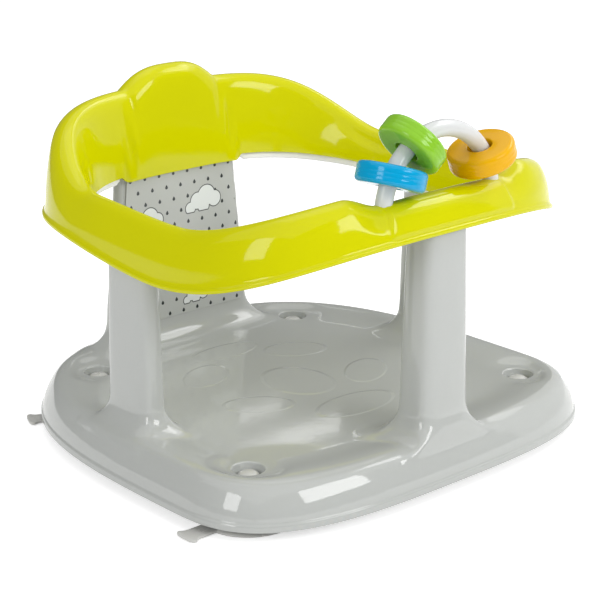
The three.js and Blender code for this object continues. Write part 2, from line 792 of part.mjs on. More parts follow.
// Suction cup with its shaft and head, about the Z axis
function cupBody() {
  const plateLow = RIM_Z - WELL_DEPTH - WELL_PLATE;
  const plateHigh = RIM_Z - WELL_DEPTH;
  return turned([
    [ZERO, CUP_HOLLOW],
    [CUP_RADIUS * 0.55, CUP_HOLLOW * 0.8],
    [CUP_RADIUS - 3 * CUP_LIP, ZERO],
    [CUP_RADIUS - CUP_LIP, ZERO],
    [CUP_RADIUS, CUP_LIP],
    [CUP_RADIUS - 2 * CUP_LIP, 3 * CUP_LIP],
    [CUP_RADIUS * 0.6, CUP_HEIGHT * 0.8],
    [CUP_NECK + 2 * CUP_LIP, CUP_HEIGHT],
    [CUP_NECK, CUP_HEIGHT + 2 * CUP_LIP],
    [CUP_NECK, plateLow - SEAT_GAP],
    [CUP_SHAFT, plateLow - SEAT_GAP],
    [CUP_SHAFT, plateHigh + SEAT_GAP],
    [CUP_HEAD, plateHigh + SEAT_GAP],
    [CUP_HEAD, plateHigh + CUP_HEAD_HEIGHT * 0.4],
    [CUP_HEAD * 0.7, plateHigh + CUP_HEAD_HEIGHT * 0.9],
    [ZERO, plateHigh + CUP_HEAD_HEIGHT],
  ], ROUND_COUNT);
}

// Pull tab: a flat tongue that widens to its outer end
function cupTab() {
  const shape = new THREE.Shape();
  const neck = TAB_REACH - TAB_FLARE;
  shape.moveTo(TAB_ROOT, -TAB_HALF_NECK);
  shape.lineTo(neck, -TAB_HALF_NECK);
  const turn = TAB_REACH - TAB_FLARE / 2;
  const ear = TAB_REACH - TAB_FLARE / 3;
  shape.quadraticCurveTo(turn, -TAB_HALF_NECK, ear, -TAB_HALF_END);
  shape.lineTo(TAB_REACH, -TAB_HALF_END + TAB_THICK);
  shape.lineTo(TAB_REACH, TAB_HALF_END - TAB_THICK);
  shape.lineTo(ear, TAB_HALF_END);
  shape.quadraticCurveTo(turn, TAB_HALF_NECK, neck, TAB_HALF_NECK);
  shape.lineTo(TAB_ROOT, TAB_HALF_NECK);
  shape.closePath();
  const options = { depth: TAB_THICK, bevelEnabled: false, curveSegments: 4 };
  const geometry = new THREE.ExtrudeGeometry(shape, options);
  geometry.translate(ZERO, ZERO, TAB_LIFT);
  return geometrySolid(geometry);
}

function suctionCup(x, y, degrees) {
  const cup = cupBody().add(cupTab());
  return cup.rotate([0, 0, degrees]).translate([x, y, ZERO]);
}

const COLOURS = {
  shell: [0.66, 0.67, 0.65],
  lime: [0.73, 0.76, 0.01],
  white: [0.86, 0.87, 0.86],
  film: [0.62, 0.63, 0.62],
  blue: [0.05, 0.42, 0.75],
  green: [0.26, 0.6, 0.06],
  orange: [0.93, 0.52, 0.01],
  cup: [0.78, 0.79, 0.77],
};

function addNode(group, name, solid, slot, roughness) {
  const [r, g, b] = COLOURS[slot];
  const color = new THREE.Color(r, g, b);
  const material = new THREE.MeshStandardMaterial({ color, roughness, metalness: 0 });
  const mesh = new THREE.Mesh(solidGeometry(solid), material);
  mesh.name = name;
  group.add(mesh);
}

const GLOSS_SHARE = 0.22;
const SOFT_SHARE = 0.45;
const TAB_FRONT_DEGREES = 180;
const TAB_REAR_DEGREES = 157;

function buildSeat() {
  const group = new THREE.Group();
  group.name = 'baby_bath_seat';
  addNode(group, 'base_shell', baseShell(), 'shell', GLOSS_SHARE);
  addNode(group, 'backrest_printed_film', backrestFilm(), 'film', SOFT_SHARE);
  addNode(group, 'support_ring', ringShell(), 'lime', GLOSS_SHARE);
  addNode(group, 'ring_under_strip', ringCover(), 'white', GLOSS_SHARE);
  addNode(group, 'toy_arch', archRod(ZERO), 'white', GLOSS_SHARE);
  const blue = toyRing(-1, BLUE_ARC, ZERO, BLUE_TILT_DEGREES, BLUE_TIP_DEGREES);
  const green = toyRing(-1, GREEN_ARC, ZERO, GREEN_TILT_DEGREES, GREEN_TIP_DEGREES);
  const orange = toyRing(1, ORANGE_ARC, ORANGE_OUT, ORANGE_TILT_DEGREES, ZERO);
  addNode(group, 'toy_ring_blue', blue, 'blue', GLOSS_SHARE);
  addNode(group, 'toy_ring_green', green, 'green', GLOSS_SHARE);
  addNode(group, 'toy_ring_orange', orange, 'orange', GLOSS_SHARE);
  wellCentres().forEach(([name, x, y]) => {
    const degrees = y < ZERO ? TAB_FRONT_DEGREES : TAB_REAR_DEGREES;
    const angle = x < ZERO ? degrees : 180 - degrees;
    addNode(group, `suction_cup_${name}`, suctionCup(x, y, angle), 'cup', SOFT_SHARE);
  });
  return group;
}

const seat = buildSeat();
export default seat;
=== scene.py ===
"""Baby bath seat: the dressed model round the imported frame, with studio and camera.

Metres, +Z up. The child in the seat faces -Y, and +X is the child's left. The
seat stands on its suction cups at z = 0. Sizes in the classes are millimetres.
"""

import logging
import math
from dataclasses import dataclass, replace
from enum import Enum
from typing import Sequence

import bmesh
import bpy
from mathutils import Matrix, Vector


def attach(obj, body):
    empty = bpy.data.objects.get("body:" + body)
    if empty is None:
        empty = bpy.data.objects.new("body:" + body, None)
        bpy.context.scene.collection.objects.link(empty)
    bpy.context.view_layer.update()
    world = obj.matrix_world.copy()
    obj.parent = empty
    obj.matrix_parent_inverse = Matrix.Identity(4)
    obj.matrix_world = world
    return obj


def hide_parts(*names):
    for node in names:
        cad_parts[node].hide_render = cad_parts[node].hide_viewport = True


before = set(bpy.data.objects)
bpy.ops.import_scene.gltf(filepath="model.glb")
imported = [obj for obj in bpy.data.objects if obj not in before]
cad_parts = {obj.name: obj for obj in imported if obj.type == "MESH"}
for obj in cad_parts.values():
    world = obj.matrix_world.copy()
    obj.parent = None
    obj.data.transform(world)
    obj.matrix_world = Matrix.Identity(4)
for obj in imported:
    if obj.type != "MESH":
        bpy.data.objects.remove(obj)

LOG = logging.getLogger("bath_seat")
MM = 0.001
SEAT = "seat"
TURN_STEPS = 96
MERGE_REACH = 0.00001
CLOSE_REACH = 0.000001

# Print: a cloud's discs as shares of its size (x, z, radius), its foot, and the edge's half width in metres
CLOUD_DISCS = (
    (-0.36, -0.12, 0.14),
    (-0.17, 0.02, 0.19),
    (0.08, 0.10, 0.24),
    (0.30, 0.0, 0.18),
    (0.0, -0.12, 0.16),
)
CLOUD_FOOT = -0.22
PRINT_EDGE = 0.0001

# Moulded faces: noise scales per metre
FLOW_SCALE = 9.0
SPECK_SCALE = 420.0
RUB_STRETCH = (40.0, 900.0, 260.0)
RUB_PATCH_SCALE = 24.0
HAZE_SCALE = 30.0
PEEL_SCALE = 160.0
SWELL_SCALE = 26.0


class Side(Enum):
    """The two sides of the seat, seen by the child in it."""

    RIGHT = -1
    LEFT = 1


class Slot(Enum):
    """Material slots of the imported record."""

    SHELL = "grey_shell"
    FILM = "printed_film"
    LIME = "lime_plastic"
    WHITE = "white_plastic"
    BLUE = "blue_plastic"
    GREEN = "green_plastic"
    ORANGE = "orange_plastic"
    CUP = "clear_grey_rubber"


class Finish(Enum):
    """The finishes of the seat."""

    SHELL = "grey_shell"
    FILM = "printed_film"
    LIME = "lime_plastic"
    ROD = "rod_plastic"
    STRIP = "strip_plastic"
    BLUE = "blue_plastic"
    GREEN = "green_plastic"
    ORANGE = "orange_plastic"
    CUP = "soft_cup"


# Workbench: the modelling steps that every piece shares


def deselect_all() -> None:
    """Leaves object mode with nothing selected."""
    if bpy.context.object and bpy.context.object.mode != "OBJECT":
        bpy.ops.object.mode_set(mode="OBJECT")
    bpy.ops.object.select_all(action="DESELECT")


def pick(piece: bpy.types.Object) -> None:
    """Selects one piece alone and makes it active."""
    deselect_all()
    piece.select_set(True)
    bpy.context.view_layer.objects.active = piece


def smooth_share(value: float) -> float:
    """Eases a value from 0 to 1 with level ends."""
    t = min(max(value, 0.0), 1.0)
    return t * t * (3.0 - 2.0 * t)


def mix(a: float, b: float, share: float) -> float:
    """Blends two numbers by a share."""
    return a + (b - a) * share


def round_corners(points: Sequence[tuple[float, float]], rounds: int = 2) -> list[tuple[float, float]]:
    """Cuts the corners of an open outline again and again until it is a smooth curve.

    Args:
        points: The control points, ends included.
        rounds: How often the corners are cut.

    Returns:
        The smooth outline, with the same two ends.
    """
    line = list(points)
    for _ in range(rounds):
        cut = [line[0]]
        for (ax, ay), (bx, by) in zip(line, line[1:]):
            cut.append((mix(ax, bx, 0.25), mix(ay, by, 0.25)))
            cut.append((mix(ax, bx, 0.75), mix(ay, by, 0.75)))
        cut.append(line[-1])
        line = cut
    return line


def extruded_loops(name: str, rows: Sequence[Sequence[Vector]]) -> bpy.types.Object:
    """Makes a skin from a circle whose edge is extruded once for each row.

    Args:
        name: The piece's name.
        rows: Closed rows of points, all of one length.

    Returns:
        The open skin, its last loop selected.
    """
    deselect_all()
    bpy.ops.mesh.primitive_circle_add(vertices=len(rows[0]), radius=1.0, fill_type="NOTHING")
    piece = bpy.context.object
    piece.name = name
    for vertex, place in zip(piece.data.vertices, rows[0]):
        vertex.co = place
    bpy.ops.object.mode_set(mode="EDIT")
    bpy.ops.mesh.select_mode(type="VERT")
    bpy.ops.mesh.select_all(action="SELECT")
    order = list(range(len(rows[0])))
    for row in rows[1:]:
        bpy.ops.mesh.extrude_edges_move()
        mesh = bmesh.from_edit_mesh(piece.data)
        mesh.verts.ensure_lookup_table()
        above = []
        for index in order:
            vertex = mesh.verts[index]
            above.append(next(e.other_vert(vertex) for e in vertex.link_edges if e.other_vert(vertex).select))
        for vertex, place in zip(above, row):
            vertex.co = place
        mesh.verts.index_update()
        order = [vertex.index for vertex in above]
        bmesh.update_edit_mesh(piece.data)
    bpy.ops.object.mode_set(mode="OBJECT")
    return piece


def turn_outwards(piece: bpy.types.Object) -> None:
    """Merges doubled points and turns the faces outwards."""
    pick(piece)
    bpy.ops.object.mode_set(mode="EDIT")
    bpy.ops.mesh.select_all(action="SELECT")
    bpy.ops.mesh.remove_doubles(threshold=MERGE_REACH)
    bpy.ops.mesh.normals_make_consistent(inside=False)
    bpy.ops.object.mode_set(mode="OBJECT")


def fill_open_ends(piece: bpy.types.Object) -> None:
    """Closes every open loop of a skin with one face and turns the faces outwards."""
    pick(piece)
    bpy.ops.object.mode_set(mode="EDIT")
    bpy.ops.mesh.select_mode(type="EDGE")
    bpy.ops.mesh.select_all(action="DESELECT")
    bpy.ops.mesh.select_non_manifold(extend=False)
    bpy.ops.mesh.edge_face_add()
    turn_outwards(piece)


def joined(pieces: Sequence[bpy.types.Object]) -> bpy.types.Object:
    """Joins pieces into the first one."""
    deselect_all()
    for piece in pieces:
        piece.select_set(True)
    bpy.context.view_layer.objects.active = pieces[0]
    bpy.ops.object.join()
    return pieces[0]


def add_modifier(piece: bpy.types.Object, kind: str, **values: object) -> None:
    """Adds one modifier to a piece, sets it and applies it.

    Args:
        piece: The piece that it shapes.
        kind: Blender's name for the modifier's type.
        **values: Its settings.
    """
    pick(piece)
    bpy.ops.object.modifier_add(type=kind)
    modifier = piece.modifiers[-1]
    for name, value in values.items():
        setattr(modifier, name, value)
    bpy.ops.object.modifier_apply(modifier=modifier.name)


def soften(piece: bpy.types.Object, width: float, segments: int) -> None:
    """Rounds a piece's sharp edges by a width in millimetres."""
    sharp = math.radians(60.0)
    add_modifier(piece, "BEVEL", width=width * MM, segments=segments, limit_method="ANGLE", angle_limit=sharp)


def shade(piece: bpy.types.Object, degrees: float = 40.0) -> None:
    """Shades a piece smooth, but for edges sharper than an angle."""
    pick(piece)
    bpy.ops.object.shade_smooth_by_angle(angle=math.radians(degrees))


def spun(name: str, profile: Sequence[tuple[float, float]], steps: int, closed: bool) -> bpy.types.Object:
    """Spins an outline about the Z axis.

    Args:
        name: The piece's name.
        profile: Points as radius and height, in millimetres.
        steps: Steps in the full turn.
        closed: Whether the outline's last point joins its first.

    Returns:
        The turned piece, its faces outwards.
    """
    deselect_all()
    bpy.ops.mesh.primitive_plane_add(size=1.0)
    piece = bpy.context.object
    piece.name = name
    bpy.ops.object.mode_set(mode="EDIT")
    bpy.ops.mesh.select_mode(type="VERT")
    bpy.ops.mesh.select_all(action="SELECT")
    bpy.ops.mesh.merge(type="CENTER")
    mesh = bmesh.from_edit_mesh(piece.data)
    mesh.verts.ensure_lookup_table()
    mesh.verts[0].co = (profile[0][0] * MM, 0.0, profile[0][1] * MM)
    bmesh.update_edit_mesh(piece.data)
    bpy.ops.mesh.select_all(action="SELECT")
    for (r0, z0), (r1, z1) in zip(profile, profile[1:]):
        step = ((r1 - r0) * MM, 0.0, (z1 - z0) * MM)
        bpy.ops.mesh.extrude_vertices_move(TRANSFORM_OT_translate={"value": step})
    bpy.ops.mesh.select_all(action="SELECT")
    if closed:
        bpy.ops.mesh.remove_doubles(threshold=CLOSE_REACH)
        bpy.ops.mesh.select_all(action="SELECT")
    bpy.ops.mesh.spin(steps=steps, angle=2.0 * math.pi, center=(0.0, 0.0, 0.0), axis=(0.0, 0.0, 1.0))
    bpy.ops.object.mode_set(mode="OBJECT")
    turn_outwards(piece)
    return piece


def carry(piece: bpy.types.Object, matrix: Matrix) -> None:
    """Moves a piece's points, and leaves its object at the origin."""
    piece.data.transform(matrix)
    piece.data.update()


def fit_on(piece: bpy.types.Object, body: str, node: str) -> None:
    """Ties a finished piece to its body and the node that it stands for.

    Args:
        piece: The finished piece.
        body: The body it moves with.
        node: The CAD node that it stands for.
    """
    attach(piece, body)
    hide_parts(node)
    piece.data.calc_loop_triangles()
    LOG.info("%s: %d triangles on %s", piece.name, len(piece.data.loop_triangles), body)


@dataclass(frozen=True)
class Oval:
    """Two half superellipses that meet at the widest line."""

    half: float
    front: float
    rear: float
    widest: float
    front_power: float
    rear_power: float

    def point(self, turn: float, inset: float = 0.0) -> Vector:
        """Gives the point at a turn from the front, moved in by an inset."""
        c, s = math.cos(turn), math.sin(turn)
        power = 2.0 / (self.front_power if c > 0 else self.rear_power)
        reach = self.front - inset + self.widest if c > 0 else self.rear - inset - self.widest
        x = math.copysign(abs(s) ** power, s) * (self.half - inset)
        y = self.widest - math.copysign(abs(c) ** power, c) * reach
        return Vector((x, y, 0.0))

    def even_turns(self, count: int) -> list[float]:
        """Gives the turns of points that stand evenly along the oval.

        Args:
            count: How many points.

        Returns:
            The turns, from the front round by the left side.
        """
        fine = 24 * count
        lengths = [0.0]
        before = self.point(0.0)
        for i in range(1, fine + 1):
            here = self.point(2.0 * math.pi * i / fine)
            lengths.append(lengths[-1] + (here - before).length)
            before = here
        turns, at = [], 0
        for j in range(count):
            goal = lengths[-1] * j / count
            while lengths[at + 1] < goal:
                at += 1
            part = (goal - lengths[at]) / (lengths[at + 1] - lengths[at])
            turns.append(2.0 * math.pi * (at + part) / fine)
        return turns


# Finishes


def new_group(
    name: str,
    inputs: dict[str, tuple[str, object]],
    outputs: dict[str, str],
) -> bpy.types.NodeTree:
    """Makes an empty shader group with named sockets.

    Args:
        name: The group's name.
        inputs: Socket type and default value by socket name.
        outputs: Socket type by socket name.

    Returns:
        The group, with an input node "in" and an output node "out".
    """
    group = bpy.data.node_groups.new(name, "ShaderNodeTree")
    for label, (kind, value) in inputs.items():
        socket = group.interface.new_socket(label, in_out="INPUT", socket_type=kind)
        if value is not None:
            socket.default_value = value
    for label, kind in outputs.items():
        group.interface.new_socket(label, in_out="OUTPUT", socket_type=kind)
    group.nodes.new("NodeGroupInput").name = "in"
    group.nodes.new("NodeGroupOutput").name = "out"
    return group


class Wiring:
    """Short ways to add and join nodes in one tree."""

    def __init__(self, tree: bpy.types.NodeTree) -> None:
        """Keeps the tree."""
        self.tree = tree

    def put(self, source: object, socket: bpy.types.NodeSocket) -> None:
        """Feeds a socket from another socket or with a plain value."""
        if isinstance(source, bpy.types.NodeSocket):
            self.tree.links.new(source, socket)
        elif source is not None:
            socket.default_value = source

    def math(self, operation: str, a: object, b: object = None) -> bpy.types.NodeSocket:
        """Adds a Math node and gives its result."""
        node = self.tree.nodes.new("ShaderNodeMath")
        node.operation = operation
        for value, socket in zip((a, b), node.inputs):
            self.put(value, socket)
        return node.outputs[0]

    def swing(self, value: object, reach: float) -> bpy.types.NodeSocket:
        """Turns a factor round one half into a signed swing of a reach."""
        return self.math("MULTIPLY", self.math("SUBTRACT", value, 0.5), reach)

    def vector(self, operation: str, a: object, b: object = None) -> bpy.types.Node:
        """Adds a Vector Math node."""
        node = self.tree.nodes.new("ShaderNodeVectorMath")
        node.operation = operation
        for value, socket in zip((a, b), node.inputs):
            self.put(value, socket)
        return node

    def noise(self, vector: object, scale: float, detail: float) -> bpy.types.NodeSocket:
        """Adds a Noise Texture and gives its factor."""
        node = self.tree.nodes.new("ShaderNodeTexNoise")
        self.put(vector, node.inputs["Vector"])
        self.put(scale, node.inputs["Scale"])
        node.inputs["Detail"].default_value = detail
        return node.outputs[0]

    def remap(
        self,
        value: object,
        low: object,
        high: float,
        to_low: float,
        to_high: float,
    ) -> bpy.types.NodeSocket:
        """Adds a Map Range node that holds its ends.

        Args:
            value: The value to map.
            low: Where the range starts.
            high: Where the range ends.
            to_low: The result at the start.
            to_high: The result at the end.

        Returns:
            The mapped value.
        """
        node = self.tree.nodes.new("ShaderNodeMapRange")
        node.clamp = True
        for item, socket in zip((value, low, high, to_low, to_high), node.inputs):
            self.put(item, socket)
        return node.outputs[0]

    def blend(self, factor: object, a: object, b: object) -> bpy.types.NodeSocket:
        """Adds a colour Mix node and gives its result."""
        node = self.tree.nodes.new("ShaderNodeMix")
        node.data_type = "RGBA"
        for item, socket in zip((factor, a, b), (node.inputs[0], node.inputs[6], node.inputs[7])):
            self.put(item, socket)
        return node.outputs[2]

    def group(self, tree: bpy.types.NodeTree, vector: object, **values: object) -> bpy.types.Node:
        """Adds a shared group, feeds its coordinates and sets its other inputs."""
        node = self.tree.nodes.new("ShaderNodeGroup")
        node.node_tree = tree
        self.put(vector, node.inputs["Vector"])
        for label, value in values.items():
            self.put(value, node.inputs[label])
        return node

    def bump(self, height: object, shader: bpy.types.Node) -> None:
        """Adds a Bump node between a height in millimetres and a shader's normal."""
        node = self.tree.nodes.new("ShaderNodeBump")
        node.inputs["Strength"].default_value = 1.0
        node.inputs["Distance"].default_value = MM
        self.put(height, node.inputs["Height"])
        self.put(node.outputs[0], shader.inputs["Normal"])


class FinishGroups:
    """The node groups that several materials share, each built once."""

    def __init__(self) -> None:
        """Builds the groups."""
        self.moulded = self._moulded()
        self.oval = self._oval()
        self.drops = self._drops()
        self.cloud = self._cloud()

    def _moulded(self) -> bpy.types.NodeTree:
        """Builds the look of a moulded face: slight flow shades, hazes, fine rubs and a soft unevenness."""
        group = new_group(
            "moulded_face",
            {
                "Vector": ("NodeSocketVector", None),
                "Colour": ("NodeSocketColor", (0.5, 0.5, 0.5, 1.0)),
                "Shade": ("NodeSocketFloat", 0.03),
                "Gloss": ("NodeSocketFloat", 0.08),
                "Haze": ("NodeSocketFloat", 0.04),
                "Rubs": ("NodeSocketFloat", 0.3),
            },
            {"Colour": "NodeSocketColor", "Roughness": "NodeSocketFloat", "Height": "NodeSocketFloat"},
        )
        w = Wiring(group)
        source, out = group.nodes["in"].outputs, group.nodes["out"].inputs
        flow = w.noise(source["Vector"], FLOW_SCALE, 2.0)
        speck = w.noise(source["Vector"], SPECK_SCALE, 1.0)
        tone = w.math("ADD", w.swing(flow, 1.4), w.swing(speck, 0.5))
        scaled = w.vector("SCALE", source["Colour"])
        w.put(w.math("ADD", 1.0, w.math("MULTIPLY", tone, source["Shade"])), scaled.inputs["Scale"])
        w.put(scaled.outputs[0], out["Colour"])
        stretch = w.vector("MULTIPLY", source["Vector"], RUB_STRETCH)
        rub = w.remap(w.noise(stretch.outputs[0], 1.0, 2.0), 0.66, 0.78, 0.0, 1.0)
        patch = w.remap(w.noise(source["Vector"], RUB_PATCH_SCALE, 2.0), 0.45, 0.65, 0.0, 1.0)
        worn = w.math("MULTIPLY", w.math("MULTIPLY", rub, patch), w.math("MULTIPLY", source["Rubs"], 0.12))
        haze = w.math("MULTIPLY", w.noise(source["Vector"], HAZE_SCALE, 3.0), source["Haze"])
        w.put(w.math("ADD", w.math("ADD", source["Gloss"], haze), worn), out["Roughness"])
        peel = w.noise(source["Vector"], PEEL_SCALE, 1.0)
        swell = w.noise(source["Vector"], SWELL_SCALE, 1.0)
        w.put(w.math("ADD", w.math("MULTIPLY", peel, 0.25), swell), out["Height"])
        return group

    def _oval(self) -> bpy.types.NodeTree:
        """Builds the share of a raised oval's height, in the plane of X and Y, with a narrow sloped edge."""
        group = new_group(
            "raised_oval",
            {
                "Vector": ("NodeSocketVector", None),
                "Centre": ("NodeSocketVector", (0.0, 0.0, 0.0)),
                "Half": ("NodeSocketVector", (0.02, 0.02, 1.0)),
                "Turn": ("NodeSocketFloat", 0.0),
                "Edge": ("NodeSocketFloat", 0.1),
            },
            {"Share": "NodeSocketFloat"},
        )
        w = Wiring(group)
        source, out = group.nodes["in"].outputs, group.nodes["out"].inputs
        away = w.vector("SUBTRACT", source["Vector"], source["Centre"])
        turned = group.nodes.new("ShaderNodeVectorRotate")
        turned.rotation_type = "Z_AXIS"
        w.put(away.outputs[0], turned.inputs["Vector"])
        w.put(source["Turn"], turned.inputs["Angle"])
        flat = w.vector("MULTIPLY", turned.outputs[0], (1.0, 1.0, 0.0))
        scaled = w.vector("DIVIDE", flat.outputs[0], source["Half"])
        reach = w.vector("LENGTH", scaled.outputs[0]).outputs["Value"]
        start = w.math("SUBTRACT", 1.0, source["Edge"])
        w.put(w.remap(reach, start, 1.0, 1.0, 0.0), out["Share"])
        return group

    def _drops(self) -> bpy.types.NodeTree:
        """Builds a mask of small drops in staggered rows, in the plane of X and Z."""
        group = new_group(
            "staggered_drops",
            {
                "Vector": ("NodeSocketVector", None),
                "Pitch": ("NodeSocketFloat", 0.0129),
                "Row": ("NodeSocketFloat", 0.0096),
                "Half Width": ("NodeSocketFloat", 0.0013),
                "Height": ("NodeSocketFloat", 0.0034),
            },
            {"Mask": "NodeSocketFloat"},
        )
        w = Wiring(group)
        source, out = group.nodes["in"].outputs, group.nodes["out"].inputs
        split = group.nodes.new("ShaderNodeSeparateXYZ")
        w.put(source["Vector"], split.inputs[0])
        level = w.math("DIVIDE", split.outputs[2], source["Row"])
        odd = w.math("MODULO", w.math("ABSOLUTE", w.math("FLOOR", level)), 2.0)
        shift = w.math("MULTIPLY", odd, 0.5)
        along = w.math("ADD", w.math("DIVIDE", split.outputs[0], source["Pitch"]), shift)
        across = w.math("SUBTRACT", w.math("FRACT", w.math("ADD", along, 100.0)), 0.5)
        x = w.math("ABSOLUTE", w.math("MULTIPLY", across, source["Pitch"]))
        z = w.math("MULTIPLY", w.math("SUBTRACT", w.math("FRACT", level), 0.5), source["Row"])
        t = w.math("ADD", w.math("DIVIDE", z, source["Height"]), 0.5)
        inside = w.math("MINIMUM", w.math("MAXIMUM", t, 0.0), 1.0)
        swell = w.math("MULTIPLY", w.math("SQRT", inside), w.math("SUBTRACT", 1.0, inside))
        width = w.math("MULTIPLY", w.math("MULTIPLY", swell, 2.6), source["Half Width"])
        w.put(w.remap(w.math("SUBTRACT", width, x), 0.0, 0.00012, 0.0, 1.0), out["Mask"])
        return group

    def _cloud(self) -> bpy.types.NodeTree:
        """Builds a plain puffy cloud of discs on a level foot, as a filled mask and its outline."""
        group = new_group(
            "puffy_cloud",
            {
                "Vector": ("NodeSocketVector", None),
                "Centre": ("NodeSocketVector", (0.0, 0.0, 0.0)),
                "Size": ("NodeSocketFloat", 0.028),
                "Line": ("NodeSocketFloat", 0.0007),
            },
            {"Fill": "NodeSocketFloat", "Outline": "NodeSocketFloat"},
        )
        w = Wiring(group)
        source, out = group.nodes["in"].outputs, group.nodes["out"].inputs
        away = w.vector("SUBTRACT", source["Vector"], source["Centre"])
        split = group.nodes.new("ShaderNodeSeparateXYZ")
        w.put(away.outputs[0], split.inputs[0])
        x = w.math("DIVIDE", split.outputs[0], source["Size"])
        z = w.math("DIVIDE", split.outputs[2], source["Size"])
        nearest: object = 10.0
        for cx, cz, radius in CLOUD_DISCS:
            dx = w.math("SUBTRACT", x, cx)
            dz = w.math("SUBTRACT", z, cz)
            reach = w.math("SQRT", w.math("ADD", w.math("MULTIPLY", dx, dx), w.math("MULTIPLY", dz, dz)))
            nearest = w.math("MINIMUM", nearest, w.math("SUBTRACT", reach, radius))
        foot = w.math("SUBTRACT", CLOUD_FOOT, z)
        shape = w.math("MULTIPLY", w.math("MAXIMUM", nearest, foot), source["Size"])
        w.put(w.remap(shape, -PRINT_EDGE, PRINT_EDGE, 1.0, 0.0), out["Fill"])
        line = w.math("SUBTRACT", w.math("ABSOLUTE", shape), w.math("MULTIPLY", source["Line"], 0.5))
        w.put(w.remap(line, -PRINT_EDGE, PRINT_EDGE, 1.0, 0.0), out["Outline"])
        return group


def start_material(name: str) -> tuple[bpy.types.Material, bpy.types.Node, bpy.types.NodeSocket, Wiring]:
    """Makes a material with its Principled shader and Object coordinates.

    Args:
        name: The material's name.

    Returns:
        The material, its shader, the coordinate socket and its wiring.
    """
    material = bpy.data.materials.new(name)
    material.use_nodes = True
    shader = next(n for n in material.node_tree.nodes if n.type == "BSDF_PRINCIPLED")
    place = material.node_tree.nodes.new("ShaderNodeTexCoord")
    return material, shader, place.outputs["Object"], Wiring(material.node_tree)


@dataclass(frozen=True)
class MouldedPlastic:
    """A glossy moulded plastic in one colour."""

    name: str
    colour: tuple[float, float, float]
    gloss: float = 0.06
    haze: float = 0.04
    shade: float = 0.05
    rubs: float = 0.5
    ior: float = 1.42
    bump: float = 0.05
    clear: float = 0.0
    ovals: tuple[tuple[float, float, float, float, float], ...] = ()
    oval_height: float = 0.5

    def build(self, groups: FinishGroups) -> bpy.types.Material:
        """Makes the material.

        Args:
            groups: The shared node groups.

        Returns:
            The finished material.
        """
        material, shader, place, w = start_material(self.name)
        values = {"Colour": (*self.colour, 1.0), "Shade": self.shade, "Gloss": self.gloss}
        face = w.group(groups.moulded, place, Haze=self.haze, Rubs=self.rubs, **values)
        w.put(face.outputs["Colour"], shader.inputs["Base Color"])
        w.put(face.outputs["Roughness"], shader.inputs["Roughness"])
        height = w.math("MULTIPLY", face.outputs["Height"], self.bump)
        for x, y, half_x, half_y, degrees in self.ovals:
            values = {"Centre": (x * MM, y * MM, 0.0), "Half": (half_x * MM, half_y * MM, 1.0)}
            oval = w.group(groups.oval, place, Turn=math.radians(degrees), **values)
            height = w.math("ADD", height, w.math("MULTIPLY", oval.outputs["Share"], self.oval_height))
        w.bump(height, shader)
        shader.inputs["IOR"].default_value = self.ior
        shader.inputs["Transmission Weight"].default_value = self.clear
        return material


@dataclass(frozen=True)
class PrintedFilm:
    """The pale film with small dark drops and a few white clouds, placed in X and Z with a size."""

    ground: tuple[float, float, float] = (0.52, 0.535, 0.515)
    ink: tuple[float, float, float] = (0.035, 0.04, 0.042)
    white: tuple[float, float, float] = (0.80, 0.83, 0.82)
    gloss: float = 0.2
    clouds: tuple[tuple[float, float, float], ...] = (
        (-0.031, 0.126, 0.030),
        (0.021, 0.133, 0.034),
        (-0.006, 0.101, 0.028),
        (0.038, 0.092, 0.030),
        (-0.038, 0.078, 0.026),
        (0.012, 0.062, 0.024),
    )

    def build(self, groups: FinishGroups) -> bpy.types.Material:
        """Makes the material.

        Args:
            groups: The shared node groups.

        Returns:
            The finished material.
        """
        material, shader, place, w = start_material("printed_film")
        face = w.group(groups.moulded, place, Colour=(*self.ground, 1.0), Shade=0.03, Gloss=self.gloss)
        drops = w.group(groups.drops, place)
        colour = w.blend(drops.outputs["Mask"], face.outputs["Colour"], (*self.ink, 1.0))
        for x, z, size in self.clouds:
            cloud = w.group(groups.cloud, place, Centre=(x, 0.0, z), Size=size)
            colour = w.blend(cloud.outputs["Fill"], colour, (*self.white, 1.0))
            colour = w.blend(cloud.outputs["Outline"], colour, (*self.ink, 1.0))
        w.put(colour, shader.inputs["Base Color"])
        w.put(face.outputs["Roughness"], shader.inputs["Roughness"])
        return material


